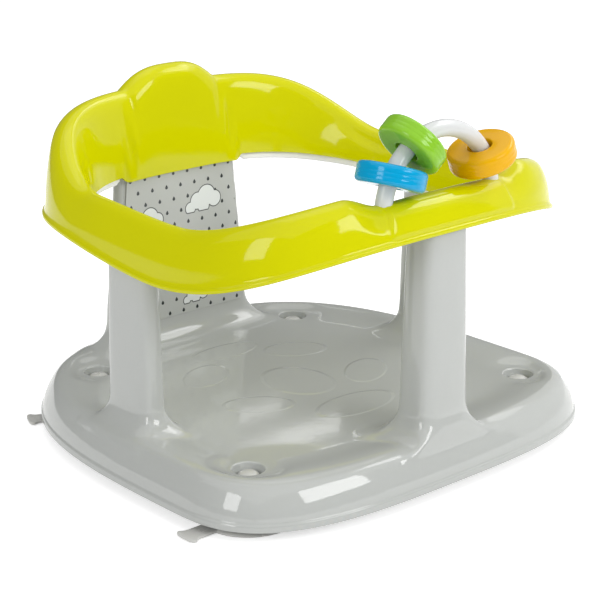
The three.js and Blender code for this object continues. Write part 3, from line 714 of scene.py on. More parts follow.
class Finishes:
    """All finishes of the seat."""

    def __init__(self) -> None:
        """Builds every material."""
        groups = FinishGroups()
        recipes: dict[Finish, MouldedPlastic | PrintedFilm] = {
            Finish.SHELL: MouldedPlastic(
                "grey_shell",
                (0.475, 0.49, 0.473),
                gloss=0.04,
                haze=0.03,
                ior=1.5,
                ovals=(
                    (0.0, -66.0, 34.0, 17.0, 0.0),
                    (-50.0, -24.0, 25.0, 15.0, 35.0),
                    (50.0, -24.0, 25.0, 15.0, -35.0),
                    (0.0, -8.0, 24.0, 30.0, 0.0),
                    (-42.0, 42.0, 24.0, 15.0, -30.0),
                    (42.0, 42.0, 24.0, 15.0, 30.0),
                    (0.0, 72.0, 30.0, 13.0, 0.0),
                ),
            ),
            Finish.FILM: PrintedFilm(),
            Finish.LIME: MouldedPlastic("lime_plastic", (0.625, 0.62, 0.0), ior=1.32),
            Finish.ROD: MouldedPlastic("rod_plastic", (0.68, 0.69, 0.69), gloss=0.12),
            Finish.STRIP: MouldedPlastic("strip_plastic", (0.93, 0.93, 0.92), gloss=0.12),
            Finish.BLUE: MouldedPlastic("blue_plastic", (0.0, 0.34, 0.63), gloss=0.1, ior=1.35),
            Finish.GREEN: MouldedPlastic("green_plastic", (0.25, 0.54, 0.03), gloss=0.1, ior=1.35),
            Finish.ORANGE: MouldedPlastic("orange_plastic", (0.80, 0.42, 0.0), gloss=0.1, ior=1.3),
            Finish.CUP: MouldedPlastic(
                "soft_cup",
                (0.70, 0.70, 0.67),
                gloss=0.2,
                haze=0.15,
                shade=0.06,
                rubs=0.6,
                bump=0.15,
                clear=0.15,
            ),
        }
        self.made = {finish: recipe.build(groups) for finish, recipe in recipes.items()}

    def dress(self, piece: bpy.types.Object, finish: Finish) -> None:
        """Gives a piece its finish."""
        piece.data.materials.clear()
        piece.data.materials.append(self.made[finish])


# Sub-assemblies


@dataclass(frozen=True)
class Post:
    """One hollow post of the tray: its place, half widths, draft, top, foot and section."""

    name: str
    centre: tuple[float, float]
    half: tuple[float, float]
    draft: tuple[float, float]
    top: float
    foot: float
    power: float = 4.0
    bend: float = 0.0
    points: int = 96


@dataclass
class Tray:
    """The moulded tray with its four hollow posts, one shell."""

    finishes: Finishes
    outline: Oval = Oval(166.5, 163.0, 163.0, -70.0, 3.2, 3.0)
    foot_z: float = 7.5
    lip_height: float = 5.0
    lip_out: float = 1.6
    rim_z: float = 35.5
    rim_inset: float = 7.0
    rim_round: float = 12.0
    floor_z: float = 32.2
    floor_blend: float = 30.0
    wall: float = 2.6
    cut_z: float = 13.5
    voxel: float = 2.1
    around: int = 300
    row_step: float = 3.0
    smooth_rounds: int = 9
    lip_steps: tuple[tuple[float, float], ...] = (
        (0.9, 1.0012),
        (0.5, 1.0035),
        (0.5, 1.0028),
        (1.6, 1.0006),
        (2.0, 1.0),
    )

    pommel: Post = Post("pommel", (0.0, -137.5), (18.8, 12.4), (3.0, 3.0), 180.0, 22.0)
    panel: Post = Post("back_panel", (0.0, 127.2), (51.0, 6.0), (14.0, 1.2), 181.0, 20.0, 8.0, 0.3, 240)
    column: Post = Post("column", (134.0, 0.0), (7.55, 20.4), (1.6, 3.0), 157.5, 19.0)
    foot_steps: int = 12
    foot_sink: float = 3.0

    wells: tuple[tuple[float, float], ...] = (
        (-125.0, -101.0),
        (125.0, -101.0),
        (-92.0, 101.0),
        (92.0, 101.0),
    )
    land_radius: float = 14.0
    land_blend: float = 14.0
    well_radius: float = 10.2
    well_mouth: float = 1.2
    well_low: float = 25.5
    well_hole: float = 4.6
    mouth_steps: int = 6
    drill_depth: float = 30.0

    def _row(self, inset: float, z: float | None = None) -> list[Vector]:
        """Sets one row round the tray, level at a height or else on its upper face."""
        row = []
        for turn in self.outline.even_turns(self.around):
            p = self.outline.point(turn, inset)
            p.z = self._surface(p, inset) if z is None else z
            row.append(p * MM)
        return row

    def _surface(self, p: Vector, inset: float) -> float:
        """Gives the upper face's height: the rim eases down to a flat floor, level round the wells."""
        edge = self.rim_inset + self.rim_round
        rim = smooth_share(1.0 - (inset - edge) / self.floor_blend)
        near = min(math.hypot(p.x - x, p.y - y) for x, y in self.wells)
        clear = smooth_share((near - self.land_radius) / self.land_blend)
        return mix(self.floor_z, self.rim_z, rim * clear)

    def _pan(self) -> bpy.types.Object:
        """Models the pan without its posts, a closed solid."""
        rim = self.rim_inset + self.rim_round
        side = self.lip_out + 0.6
        wall = [
            (0.6, self.foot_z),
            (0.6, self.foot_z + self.lip_height),
            (side, mix(self.foot_z, self.rim_z, 0.45)),
            (self.rim_inset - 1.0, self.rim_z - self.rim_round * 0.62),
            (self.rim_inset + self.rim_round * 0.3, self.rim_z - 0.4),
            (rim, self.rim_z),
        ]
        rows = [self._row(inset, z) for inset, z in round_corners(wall)]
        inset = rim + self.row_step
        while inset < self.outline.front - self.row_step:
            rows.append(self._row(inset))
            inset += self.row_step
        pan = extruded_loops("tray_pan", rows)
        fill_open_ends(pan)
        return pan

    def _post(self, post: Post) -> bpy.types.Object:
        """Models one post, a closed solid that flares into the tray at its foot."""
        shape = [(self.floor_z - self.foot_sink, post.foot), (self.floor_z, post.foot)]
        for i in range(1, self.foot_steps + 1):
            t = i / self.foot_steps
            flare = post.foot * (1.0 - math.sqrt(1.0 - (1.0 - t) ** 2))
            shape.append((self.floor_z + post.foot * t, flare))
        shape += [(mix(self.floor_z + post.foot, post.top, share), 0.0) for share in (0.33, 0.66, 1.0)]
        rows = []
        for z, flare in shape:
            grow = (post.top - z) / (post.top - self.floor_z)
            half_x = post.half[0] + post.draft[0] * grow + flare
            half_y = post.half[1] + post.draft[1] * grow + flare
            row = []
            for i in range(post.points):
                turn = 2.0 * math.pi * i / post.points
                u, v = math.cos(turn), math.sin(turn)
                pull = (abs(u) ** post.power + abs(v) ** post.power) ** (-1.0 / post.power)
                x = post.centre[0] + u * pull * half_x
                y = post.centre[1] + v * pull * half_y - post.bend * (u * pull) ** 2
                row.append(Vector((x, y, z)) * MM)
            rows.append(row)
        piece = extruded_loops(post.name, rows)
        fill_open_ends(piece)
        return piece

    def _posts(self) -> list[bpy.types.Object]:
        """Models the pommel, the two side columns and the back panel."""
        posts = [self.pommel, self.panel]
        x, y = self.column.centre
        for side in Side:
            name = f"column_{side.name.lower()}"
            posts.append(replace(self.column, name=name, centre=(side.value * x, y)))
        return [self._post(post) for post in posts]

    def _keep_in_rim(self, posts: Sequence[bpy.types.Object]) -> None:
        """Trims the flares where they would stand past the tray's wall."""
        limit = [
            (0.9, self.foot_z - 5.0),
            (self.lip_out + 1.0, mix(self.foot_z, self.rim_z, 0.45)),
            (self.rim_inset - 0.6, self.rim_z - 6.0),
            (self.rim_inset + 0.6, self.rim_z + 4.0),
            (self.rim_inset + 0.6, 240.0),
        ]
        fence = extruded_loops("fence", [self._row(inset, z) for inset, z in limit])
        fill_open_ends(fence)
        for post in posts:
            add_modifier(post, "BOOLEAN", operation="INTERSECT", object=fence, solver="EXACT")
        bpy.data.objects.remove(fence)

    def _lip(self, shell: bpy.types.Object) -> None:
        """Cuts the solid open above its foot and draws the wall down to its lip."""
        pick(shell)
        bpy.ops.object.mode_set(mode="EDIT")
        bpy.ops.mesh.select_mode(type="VERT")
        bpy.ops.mesh.select_all(action="SELECT")
        level = (0.0, 0.0, self.cut_z * MM)
        bpy.ops.mesh.bisect(plane_co=level, plane_no=(0.0, 0.0, 1.0), use_fill=False, clear_inner=True)
        bpy.ops.mesh.select_all(action="DESELECT")
        bpy.ops.mesh.select_mode(type="EDGE")
        bpy.ops.mesh.select_non_manifold(
            extend=False, use_wire=False, use_multi_face=False, use_non_contiguous=False, use_verts=False
        )
        for drop, grow in self.lip_steps:
            bpy.ops.mesh.extrude_edges_move(TRANSFORM_OT_translate={"value": (0.0, 0.0, -drop * MM)})
            bpy.ops.transform.resize(value=(grow, grow, 1.0), center_override=(0.0, 0.0, 0.0))
        mesh = bmesh.from_edit_mesh(shell.data)
        for vertex in mesh.verts:
            if vertex.select:
                vertex.co.z = self.foot_z * MM
        bmesh.update_edit_mesh(shell.data)
        bpy.ops.object.mode_set(mode="OBJECT")

    def _lining(self) -> bpy.types.Object:
        """Turns one well's lining: rounded mouth, wall and plate with its hole."""
        mouth = self.well_radius + self.well_mouth
        low, high = self.well_low, self.floor_z
        inner = [(mouth, high)]
        for i in range(1, self.mouth_steps + 1):
            turn = 0.5 * math.pi * i / self.mouth_steps
            drop = self.well_mouth * (1.0 - math.cos(turn))
            inner.append((mouth - self.well_mouth * math.sin(turn), high - drop))
        inner += [
            (self.well_radius - 0.6, low + 0.8),
            (self.well_radius - 1.3, low),
            (self.well_hole, low),
            (self.well_hole, low - self.wall),
        ]
        back = self.well_radius + 2.4
        outer = [(back, low - self.wall), (back, high - self.wall), (mouth, high - self.wall)]
        return spun("well_lining", [*inner, *outer, inner[0]], TURN_STEPS, True)

    def _wells(self, shell: bpy.types.Object) -> bpy.types.Object:
        """Drills the shell at each well and sets the well's turned lining in the hole."""
        mouth = (self.well_radius + self.well_mouth) * MM
        linings = []
        for x, y in self.wells:
            place = Vector((x, y, self.rim_z)) * MM
            deselect_all()
            bpy.ops.mesh.primitive_cylinder_add(
                vertices=TURN_STEPS,
                radius=mouth,
                depth=self.drill_depth * MM,
                location=place,
            )
            drill = bpy.context.object
            add_modifier(shell, "BOOLEAN", operation="DIFFERENCE", object=drill, solver="EXACT")
            bpy.data.objects.remove(drill)
            lining = self._lining()
            carry(lining, Matrix.Translation((place.x, place.y, 0.0)))
            linings.append(lining)
        return joined([shell, *linings])

    def build(self) -> None:
        """Models the whole shell and fits it on."""
        posts = self._posts()
        self._keep_in_rim(posts)
        shell = joined([self._pan(), *posts])
        add_modifier(shell, "REMESH", mode="VOXEL", voxel_size=self.voxel * MM, adaptivity=0.0)
        add_modifier(shell, "SMOOTH", factor=0.5, iterations=self.smooth_rounds)
        self._lip(shell)
        add_modifier(shell, "SOLIDIFY", thickness=self.wall * MM, offset=-1.0, use_rim=True)
        shell = self._wells(shell)
        shell.name = "tray_shell"
        self.finishes.dress(shell, Finish.SHELL)
        shade(shell, 50.0)
        fit_on(shell, SEAT, "base_shell")


@dataclass
class SupportRing:
    """The shaped ring round the child, with the strip under its inner wall."""

    finishes: Finishes
    outline: Oval = Oval(150.0, 156.0, 149.0, -10.0, 3.3, 3.2)
    depth: float = 30.0
    crest_out: float = 13.0
    wall: float = 2.6
    around: int = 520

    lower_side: float = 141.0
    lower_front_rise: float = 31.5
    lower_front_end: float = -39.0
    lower_front_power: float = 2.1
    lower_back_rise: float = 11.5
    lower_back: tuple[float, float] = (-45.0, 130.0)

    crest_side: float = 176.5
    side_tilt: float = 3.5
    side_tilt_range: tuple[float, float] = (-45.0, 90.0)
    shoulder_rise: float = 27.5
    shoulder_start: float = -50.0
    shoulder_length: float = 93.0
    shoulder_power: float = 1.6
    rail_rise: float = 18.5
    back_rise: float = 44.0
    back_range: tuple[float, float] = (42.0, 108.0)

    head_rise: float = 13.8
    head_half: float = 42.0
    head_edge_power: float = 3.0
    head_top_power: float = 1.2
    head_proud: float = 2.6
    fold_low: float = 48.5
    fold_high: float = 35.0
    head_crease: float = 4.0
    panel_half: float = 51.0

    rail_half: float = 53.0
    rail_blend: float = 28.0
    rail_depth: float = 9.0
    rail_face: float = 1.3
    rail_square: float = 1.2
    rail_step: float = 3.0

    inner_lift: float = 6.0
    inner_front_lift: float = 4.0
    inner_front: tuple[float, float] = (-40.0, 80.0)
    inner_back_lift: float = 5.7
    inner_back_length: float = 89.0
    panel_drop: float = 4.0

    strip_below: float = 5.5
    strip_tab: float = 3.5
    strip_thick: float = 2.0
    strip_lean: float = 1.1
    strip_end: float = 53.6
    edge_round: float = 0.4

    def lower(self, p: Vector) -> float:
        """Gives the height of the outer lip over a point of the outline."""
        reach = max((self.lower_front_end - p.y) / (self.outline.front + self.lower_front_end), 0.0)
        start, length = self.lower_back
        back = smooth_share((p.y - start) / length)
        front = self.lower_front_rise * reach ** self.lower_front_power
        return self.lower_side + front + self.lower_back_rise * back

    def inner(self, turn: float) -> float:
        """Gives the height of the inner wall's edge, which comes down in front of the back panel."""
        p = self.outline.point(turn)
        inside = self.outline.point(turn, self.depth)
        start, length = self.inner_front
        front = smooth_share((start - p.y) / length)
        reach = max((p.y - self.outline.rear + self.inner_back_length) / self.inner_back_length, 0.0)
        lift = self.inner_lift + self.inner_front_lift * front + self.inner_back_lift * reach ** 2
        beside = smooth_share((self.panel_half + self.head_crease - abs(inside.x)) / self.head_crease)
        return self.lower(p) + lift - (self.panel_drop * beside if p.y > 0 else 0.0)

    def crest(self, p: Vector) -> float:
        """Gives the height of the crest over a point."""
        start, length = self.side_tilt_range
        tilt = self.side_tilt * smooth_share((p.y - start) / length)
        start, length = self.back_range
        back = self.back_rise * smooth_share((p.y - start) / length)
        if p.y > 0:
            return self.crest_side + tilt + back + self.head(p)
        reach = min(max((self.shoulder_start - p.y) / self.shoulder_length, 0.0), 1.0)
        rail = smooth_share((self.rail_half + self.rail_blend - abs(p.x)) / self.rail_blend)
        front = self.shoulder_rise * reach ** self.shoulder_power
        return self.crest_side + tilt + front - (self.shoulder_rise - self.rail_rise) * rail

    def head(self, p: Vector) -> float:
        """Gives how far the head pillow rises over the back."""
        share = min(abs(p.x) / self.head_half, 1.0)
        return self.head_rise * (1.0 - share ** self.head_edge_power) ** self.head_top_power

    def proud(self, turn: float, inset: float, up: float) -> float:
        """Gives how far the inner wall stands further in, at the head pillow and the front rail.

        Args:
            turn: The turn round the outline.
            inset: The inset of the point on the wall.
            up: The share of the wall's height.

        Returns:
            The extra inset.
        """
        p = self.outline.point(turn, inset)
        if p.y < 0:
            return self.rail(turn) * self.rail_depth
        edge = mix(self.fold_low, self.fold_high, up) + self.head_crease
        return self.head_proud * smooth_share((edge - abs(p.x)) / self.head_crease)

    def rail(self, turn: float) -> float:
        """Gives the share of the front rail's extra depth at a turn."""
        foot = self.outline.point(turn)
        return smooth_share((self.rail_half - abs(foot.x)) / self.rail_blend) if foot.y < 0 else 0.0

    def block(self, turn: float) -> float:
        """Gives the share of the rail's squarer, prouder front, with a short step at each end."""
        foot = self.outline.point(turn)
        if foot.y > 0:
            return 0.0
        return smooth_share((self.rail_half + self.rail_step - abs(foot.x)) / self.rail_step)

    def _section(self, turn: float) -> list[Vector]:
        """Gives the skin's points at one turn, from the outer lip over the crest to the inner edge."""
        low = self.lower(self.outline.point(turn))
        crest = self.crest(self.outline.point(turn, self.crest_out))
        inner = self.inner(turn)
        face = self.rail_face * self.block(turn)
        square = face + self.rail_square * self.block(turn)
        top, middle = self.proud(turn, 23.0, 0.95), self.proud(turn, 27.0, 0.5)
        foot = self.proud(turn, self.depth, 0.0)
        waist = mix(foot, middle, 0.4)
        control = [
            (0.6, low),
            (-0.1, low + 0.5),
            (-0.1, low + 2.7),
            (1.3, low + 3.6),
            (1.9 - face, low + 6.5),
            (3.2 - face, mix(low + 6.5, crest - 8.0, 0.5)),
            (6.2 - square, crest - 8.0),
            (9.6 - square, crest - 2.2),
            (14.5 - square, crest + 0.5),
            (19.0, crest + 0.3),
            (21.8 + top * 0.5, crest - 2.8),
            (24.0 + top * 0.8, crest - 9.0),
            (27.4 + middle, mix(inner, crest, 0.48)),
            (29.3 + waist, mix(inner, crest, 0.2)),
            (self.depth + foot, inner + 1.5),
            (self.depth + foot, inner),
        ]
        return self._placed(turn, control)

    def _placed(self, turn: float, control: Sequence[tuple[float, float]]) -> list[Vector]:
        """Rounds a section's outline of insets and heights and sets it at a turn."""
        points = round_corners(control)
        return [(self.outline.point(turn, inset) + Vector((0.0, 0.0, z))) * MM for inset, z in points]

    def _shell(self) -> bpy.types.Object:
        """Models the ring's skin and gives it its wall."""
        sections = [self._section(turn) for turn in self.outline.even_turns(self.around)]
        ring = extruded_loops("support_ring_shell", [list(row) for row in zip(*sections)])
        turn_outwards(ring)
        top = max(ring.data.polygons, key=lambda face: face.center.z)
        hollow_side = -1.0 if top.normal.z > 0 else 1.0
        add_modifier(ring, "SOLIDIFY", thickness=self.wall * MM, offset=hollow_side, use_rim=True)
        soften(ring, self.edge_round, 2)
        return ring

    def _strip(self) -> bpy.types.Object:
        """Models the white strip behind the inner wall's lower edge, its ends drawn in."""
        turns = [t if t <= math.pi else t - 2.0 * math.pi for t in self.outline.even_turns(self.around)]
        kept = sorted(t for t in turns if self._beside_panel(t))
        sections = []
        for place, turn in enumerate(kept):
            from_end = min(place, len(kept) - 1 - place)
            drawn = self.strip_below * 0.5 * (1.0 - min(from_end / 2.0, 1.0))
            low = self.inner(turn) - self.strip_below + drawn
            high = self.inner(turn) + self.strip_tab
            face = self.depth + self.rail(turn) * self.rail_depth - self.wall - 0.3
            shape = [
                (face - self.strip_thick - self.strip_lean, high),
                (face - self.strip_thick, low + 0.7),
                (face - self.strip_thick * 0.5, low - 0.3),
                (face, low + 0.7),
                (face - self.strip_lean, high),
            ]
            sections.append(self._placed(turn, shape))
        strip = extruded_loops("ring_strip", sections)
        fill_open_ends(strip)
        return strip

    def _beside_panel(self, turn: float) -> bool:
        """Tells whether a turn is clear of the back panel."""
        p = self.outline.point(turn, self.depth - self.wall)
        return p.y < 0 or abs(p.x) > self.strip_end

    def build(self) -> None:
        """Models the ring and its strip and fits them on."""
        ring = self._shell()
        self.finishes.dress(ring, Finish.LIME)
        shade(ring, 45.0)
        fit_on(ring, SEAT, "support_ring")
        strip = self._strip()
        self.finishes.dress(strip, Finish.STRIP)
        shade(strip, 45.0)
        fit_on(strip, SEAT, "ring_under_strip")


@dataclass
class PrintedPanelFilm:
    """The printed film on the front of the back panel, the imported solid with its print."""

    finishes: Finishes

    def build(self) -> None:
        """Puts the print on the film's own solid."""
        self.finishes.dress(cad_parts["backrest_printed_film"], Finish.FILM)
        LOG.info("backrest_printed_film: printed")


@dataclass(frozen=True)
class ToyPlace:
    """Where a toy ring sits: its side, length of arc, push off the rod and leans in degrees."""

    colour: str
    slot: Slot
    finish: Finish
    side: Side
    arc: float
    out: float
    tilt: float
    tip: float


@dataclass
class ToyArch:
    """The bent rod on the front rail and the three rings threaded on it."""

    finishes: Finishes
    y: float = -137.8
    centre_z: float = 185.9
    radius: float = 48.0
    rod: float = 5.5
    rod_points: int = 48
    arch_steps: int = 72
    leg: float = 4.0
    ring_radius: float = 22.0
    ring_half: float = 6.5
    ring_round: float = 3.0
    ring_hole: float = 8.0
    hole_round: float = 0.8
    groove: float = 0.12
    groove_half: float = 0.4
    groove_lines: tuple[float, float] = (-1.3, 1.3)
    round_steps: int = 7
    places: tuple[ToyPlace, ...] = (
        ToyPlace("blue", Slot.BLUE, Finish.BLUE, Side.RIGHT, 25.8, 0.0, -10.8, 4.6),
        ToyPlace("green", Slot.GREEN, Finish.GREEN, Side.RIGHT, 50.7, 0.0, -11.0, -2.3),
        ToyPlace("orange", Slot.ORANGE, Finish.ORANGE, Side.LEFT, 28.0, -1.3, -12.3, 0.0),
    )

    def _rod(self) -> bpy.types.Object:
        """Spins the rod's round section through its half circle and draws its legs down."""
        foot = Vector((-self.radius, 0.0, -self.leg)) * MM
        up = (0.0, 0.0, self.leg * MM)
        deselect_all()
        bpy.ops.mesh.primitive_circle_add(
            vertices=self.rod_points,
            radius=self.rod * MM,
            fill_type="NOTHING",
            location=foot,
        )
        rod = bpy.context.object
        rod.name = "arch_rod"
        bpy.ops.object.transform_apply(location=True, rotation=True, scale=True)
        bpy.ops.object.mode_set(mode="EDIT")
        bpy.ops.mesh.select_mode(type="VERT")
        bpy.ops.mesh.select_all(action="SELECT")
        bpy.ops.mesh.extrude_edges_move(TRANSFORM_OT_translate={"value": up})
        half_turn = -math.pi
        middle, axis = (0.0, 0.0, 0.0), (0.0, 1.0, 0.0)
        bpy.ops.mesh.spin(steps=self.arch_steps, angle=half_turn, center=middle, axis=axis)
        bpy.ops.mesh.extrude_edges_move(TRANSFORM_OT_translate={"value": (0.0, 0.0, -self.leg * MM)})
        bpy.ops.object.mode_set(mode="OBJECT")
        turn_outwards(rod)
        fill_open_ends(rod)
        carry(rod, Matrix.Translation(Vector((0.0, self.y, self.centre_z)) * MM))
        return rod

    def _ring(self, name: str) -> bpy.types.Object:
        """Turns one toy ring about the Z axis: a thick washer with rounded edges and two fine lines."""
        r, h, hole = self.ring_radius, self.ring_half, self.ring_hole
        steps = self.round_steps
        corners = ((r, -h, -0.5, self.ring_round), (r, h, 0.0, self.ring_round))
        mouths = ((hole, h, 0.5, -self.hole_round), (hole, -h, 1.0, -self.hole_round))
        profile: list[tuple[float, float]] = []
        for place, (x, z, start, edge) in enumerate((*corners, *mouths)):
            round_off = abs(edge)
            centre = (x - edge, z - math.copysign(round_off, z))
            for i in range(steps + 1):
                turn = math.pi * (start + 0.5 * i / steps)
                x_off, z_off = round_off * math.cos(turn), round_off * math.sin(turn)
                profile.append((centre[0] + x_off, centre[1] + z_off))
            if place == 0:
                half = self.groove_half
                for line in self.groove_lines:
                    profile += [(r, line - half), (r - self.groove, line), (r, line + half)]
        profile.append(profile[0])
        return spun(name, profile, TURN_STEPS, True)

    def build(self) -> None:
        """Models the arch and its rings and fits them on."""
        rod = self._rod()
        self.finishes.dress(rod, Finish.ROD)
        shade(rod, 40.0)
        fit_on(rod, SEAT, "toy_arch")
        for toy in self.places:
            ring = self._ring(f"{toy.colour}_toy_ring")
            side = toy.side.value
            turn = toy.arc / self.radius
            lean = turn + math.radians(toy.tilt)
            reach = self.radius + toy.out
            x, z = side * reach * math.cos(turn), self.centre_z + reach * math.sin(turn)
            place = Matrix.Translation(Vector((x, self.y, z)) * MM)
            tipped = Matrix.Rotation(-math.radians(toy.tip), 4, "X")
            carry(ring, place @ Matrix.Rotation(-side * lean, 4, "Y") @ tipped)
            self.finishes.dress(ring, toy.finish)
            shade(ring, 40.0)
            fit_on(ring, f"{toy.colour}_ring", f"toy_ring_{toy.colour}")


@dataclass
class SuctionCups:
    """The four suction cups, each with its stud and pull tab."""

    finishes: Finishes
    radius: float = 32.0
    height: float = 9.5
    neck: float = 6.6
    shaft: float = 4.2
    head: float = 7.0
    plate_low: float = 23.5
    plate_high: float = 26.5
    seat_gap: float = 0.3
    tab_root: float = 24.0
    tab_reach: float = 52.0
    tab_neck: float = 6.5
    tab_end: float = 9.0
    tab_thick: float = 1.8
    tab_lift: float = 0.6
    tab_round: float = 0.45
    places: tuple[tuple[str, float, float, float], ...] = (
        ("front_right", -125.0, -101.0, 180.0),
        ("front_left", 125.0, -101.0, 0.0),
        ("rear_right", -92.0, 101.0, 157.0),
        ("rear_left", 92.0, 101.0, 23.0),
    )

    def _cup(self) -> bpy.types.Object:
        """Turns the cup with its stud."""
        r = self.radius
        under = round_corners([(0.0, 5.5), (r * 0.3, 5.3), (r * 0.62, 3.9), (r - 4.0, 0.7), (r - 3.0, 0.0)])
        over = round_corners([
            (r - 1.0, 0.0),
            (r + 0.15, 0.4),
            (r - 0.4, 1.9),
            (r - 2.6, 3.1),
            (r * 0.62, 7.3),
            (self.neck + 3.0, self.height - 0.2),
            (self.neck, self.height + 1.2),
            (self.neck, self.height + 4.0),
        ])
        low, high = self.plate_low - self.seat_gap, self.plate_high + self.seat_gap
        stud = [
            (self.neck, low),
            (self.shaft, low),
            (self.shaft, high),
            (self.head - 0.5, high),
            (self.head, high + 0.6),
            (self.head - 0.3, high + 1.7),
            (self.head - 2.2, high + 3.0),
            (0.0, high + 3.3),
        ]
        return spun("suction_cup", [*under, *over, *stud], TURN_STEPS, False)

    def _tab(self) -> bpy.types.Object:
        """Extrudes the pull tab from its outline and rounds its edges."""
        reach, neck, end = self.tab_reach, self.tab_neck, self.tab_end
        side = round_corners([
            (self.tab_root, neck),
            (reach - 12.0, neck),
            (reach - 6.0, neck + 0.2),
            (reach - 4.2, end - 0.6),
            (reach - 2.6, end),
            (reach - 0.9, end - 1.2),
            (reach, end - 4.5),
            (reach, 0.0),
        ])
        outline = [*side, *[(x, -y) for x, y in reversed(side[:-1])]]
        deselect_all()
        bpy.ops.mesh.primitive_circle_add(vertices=len(outline), radius=1.0, fill_type="NOTHING")
        tab = bpy.context.object
        for vertex, (x, y) in zip(tab.data.vertices, outline):
            vertex.co = (x * MM, y * MM, self.tab_lift * MM)
        bpy.ops.object.mode_set(mode="EDIT")
        bpy.ops.mesh.select_mode(type="VERT")
        bpy.ops.mesh.select_all(action="SELECT")
        bpy.ops.mesh.edge_face_add()
        bpy.ops.mesh.extrude_region_move(TRANSFORM_OT_translate={"value": (0.0, 0.0, self.tab_thick * MM)})
        bpy.ops.object.mode_set(mode="OBJECT")
        turn_outwards(tab)
        soften(tab, self.tab_round, 3)
        return tab

    def build(self) -> None:
        """Models one cup for each of the four wells and fits each on."""
        for name, x, y, degrees in self.places:
            cup = joined([self._cup(), self._tab()])
            cup.name = f"cup_{name}"
            turned = Matrix.Rotation(math.radians(degrees), 4, "Z")
            carry(cup, Matrix.Translation((x * MM, y * MM, 0.0)) @ turned)
            self.finishes.dress(cup, Finish.CUP)
            shade(cup, 45.0)
            fit_on(cup, SEAT, f"suction_cup_{name}")


# Studio


@dataclass(frozen=True)
class Softbox:
    """One rectangular light: its name, place, width and height, and power in watts."""

    name: str
    place: tuple[float, float, float]
    size: tuple[float, float]
    watts: float


@dataclass(frozen=True)
class Card:
    """One upright card for reflections: its name, two opposite corners and its strength, where 1 is white."""

    name: str
    low: tuple[float, float, float]
    high: tuple[float, float, float]
    glow: float


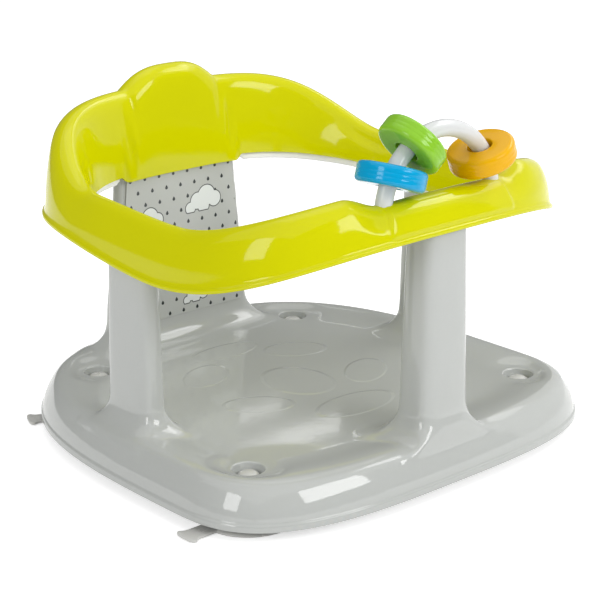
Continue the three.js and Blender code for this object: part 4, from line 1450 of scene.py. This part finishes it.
@dataclass
class Studio:
    """Pale floor, soft lights, grey and bright cards and the photograph's camera. Its sizes are metres."""

    azimuth: float = -41.99
    elevation: float = 18.26
    distance: float = 1.259
    lens: float = 108.72
    target: tuple[float, float, float] = (0.0089, 0.0, 0.0875)
    surround: float = 0.52
    floor_glow: float = 0.6
    floor_size: float = 8.0
    floor_drop: float = 0.0002
    sensor: float = 36.0
    aim: tuple[float, float, float] = (0.0, 0.0, 0.12)
    softboxes: tuple[Softbox, ...] = (
        Softbox("key_box", (0.35, -1.65, 0.95), (1.0, 0.6), 14.5),
        Softbox("band_box", (1.15, -0.3, 1.35), (1.1, 0.5), 7.0),
        Softbox("side_box", (-1.72, -0.35, 0.8), (0.6, 0.8), 9.0),
        Softbox("top_box", (0.2, 0.3, 1.9), (1.2, 1.2), 4.5),
    )
    cards: tuple[Card, ...] = (
        Card("back_card", (-2.2, 1.7, 0.0), (2.6, 1.7, 2.0), 0.16),
        Card("left_card", (-2.2, 1.7, 0.0), (-2.2, -2.2, 1.6), 0.16),
        Card("front_card", (-2.2, -2.2, 0.0), (2.6, -2.2, 1.8), 0.16),
        Card("strip_low", (0.9, 1.69, 0.929), (1.479, 1.69, 0.945), 2.2),
        Card("strip_high", (0.9, 1.69, 1.005), (1.643, 1.69, 1.042), 2.2),
        Card("band_card", (1.25, -1.0, 1.0), (1.25, 0.6, 1.6), 2.6),
    )

    def camera(self) -> None:
        """Sets the camera at the photograph's angle."""
        a, e = math.radians(self.azimuth), math.radians(self.elevation)
        back = Vector((math.sin(a) * math.cos(e), -math.cos(a) * math.cos(e), math.sin(e)))
        data = bpy.data.cameras.new("photo_camera")
        data.lens = self.lens
        data.sensor_width = self.sensor
        data.clip_start, data.clip_end = 0.05, 30.0
        eye = bpy.data.objects.new("photo_camera", data)
        bpy.context.scene.collection.objects.link(eye)
        eye.location = Vector(self.target) + back * self.distance
        eye.rotation_mode = "QUATERNION"
        eye.rotation_quaternion = (-back).to_track_quat("-Z", "Y")
        bpy.context.scene.camera = eye

    def light(self, box: Softbox) -> None:
        """Hangs one rectangular light that faces the seat."""
        data = bpy.data.lights.new(box.name, "AREA")
        data.shape = "RECTANGLE"
        data.size, data.size_y = box.size
        data.energy = box.watts
        lamp = bpy.data.objects.new(box.name, data)
        bpy.context.scene.collection.objects.link(lamp)
        lamp.location = box.place
        lamp.rotation_mode = "QUATERNION"
        lamp.rotation_quaternion = (Vector(self.aim) - Vector(box.place)).to_track_quat("-Z", "Y")

    def floor(self) -> None:
        """Lays the pale floor, which keeps the seat's shadow."""
        deselect_all()
        bpy.ops.mesh.primitive_plane_add(size=self.floor_size, location=(0.0, 0.0, -self.floor_drop))
        floor = bpy.context.object
        floor.name = "studio_floor"
        material, shader, place, w = start_material("studio_floor")
        tone = w.remap(w.noise(place, 3.0, 2.0), 0.3, 0.7, 0.80, 0.82)
        colour = material.node_tree.nodes.new("ShaderNodeCombineColor")
        for socket in colour.inputs:
            w.put(tone, socket)
        w.put(colour.outputs[0], shader.inputs["Base Color"])
        shader.inputs["Roughness"].default_value = 0.9
        shader.inputs["Specular IOR Level"].default_value = 0.1
        path = material.node_tree.nodes.new("ShaderNodeLightPath").outputs
        seen = w.math("MAXIMUM", path["Is Camera Ray"], path["Is Transmission Ray"])
        seen = w.math("MAXIMUM", seen, path["Is Glossy Ray"])
        shader.inputs["Emission Color"].default_value = (1.0, 1.0, 1.0, 1.0)
        w.put(w.math("MULTIPLY", seen, self.floor_glow), shader.inputs["Emission Strength"])
        floor.data.materials.append(material)

    def stand(self, place: Card) -> None:
        """Stands an upright card that only shows as a reflection in the gloss."""
        deselect_all()
        bpy.ops.mesh.primitive_plane_add(size=1.0)
        card = bpy.context.object
        card.name = place.name
        low, high = place.low, place.high
        corners = (low, (high[0], high[1], low[2]), (low[0], low[1], high[2]), high)
        for vertex, corner in zip(card.data.vertices, corners):
            vertex.co = corner
        material, shader, _, _ = start_material(place.name)
        shader.inputs["Base Color"].default_value = (0.0, 0.0, 0.0, 1.0)
        shader.inputs["Specular IOR Level"].default_value = 0.0
        shader.inputs["Emission Color"].default_value = (1.0, 1.0, 1.0, 1.0)
        shader.inputs["Emission Strength"].default_value = place.glow
        card.data.materials.append(material)
        card.visible_camera = False
        card.visible_diffuse = False
        card.visible_shadow = False
        card.visible_transmission = False

    def world(self) -> None:
        """Makes the surround white where it is seen or mirrored, and softer where it only lights."""
        world = bpy.data.worlds.new("studio")
        bpy.context.scene.world = world
        world.use_nodes = True
        w = Wiring(world.node_tree)
        sky = next(n for n in world.node_tree.nodes if n.type == "BACKGROUND")
        sky.inputs["Color"].default_value = (1.0, 1.0, 1.0, 1.0)
        path = world.node_tree.nodes.new("ShaderNodeLightPath").outputs
        seen = w.math("MAXIMUM", path["Is Camera Ray"], path["Is Transmission Ray"])
        seen = w.math("MAXIMUM", seen, path["Is Glossy Ray"])
        extra = w.math("MULTIPLY", seen, 1.0 - self.surround)
        w.put(w.math("ADD", extra, self.surround), sky.inputs["Strength"])

    def build(self) -> None:
        """Builds the studio."""
        self.camera()
        self.floor()
        self.world()
        for box in self.softboxes:
            self.light(box)
        for card in self.cards:
            self.stand(card)
        bpy.context.scene.view_settings.view_transform = "Standard"


def main() -> None:
    """Builds the seat and its studio."""
    logging.basicConfig(level=logging.INFO, format="%(message)s")
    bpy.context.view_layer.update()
    Studio().build()
    finishes = Finishes()
    Tray(finishes).build()
    PrintedPanelFilm(finishes).build()
    SupportRing(finishes).build()
    ToyArch(finishes).build()
    SuctionCups(finishes).build()


if __name__ == "__main__":
    main()
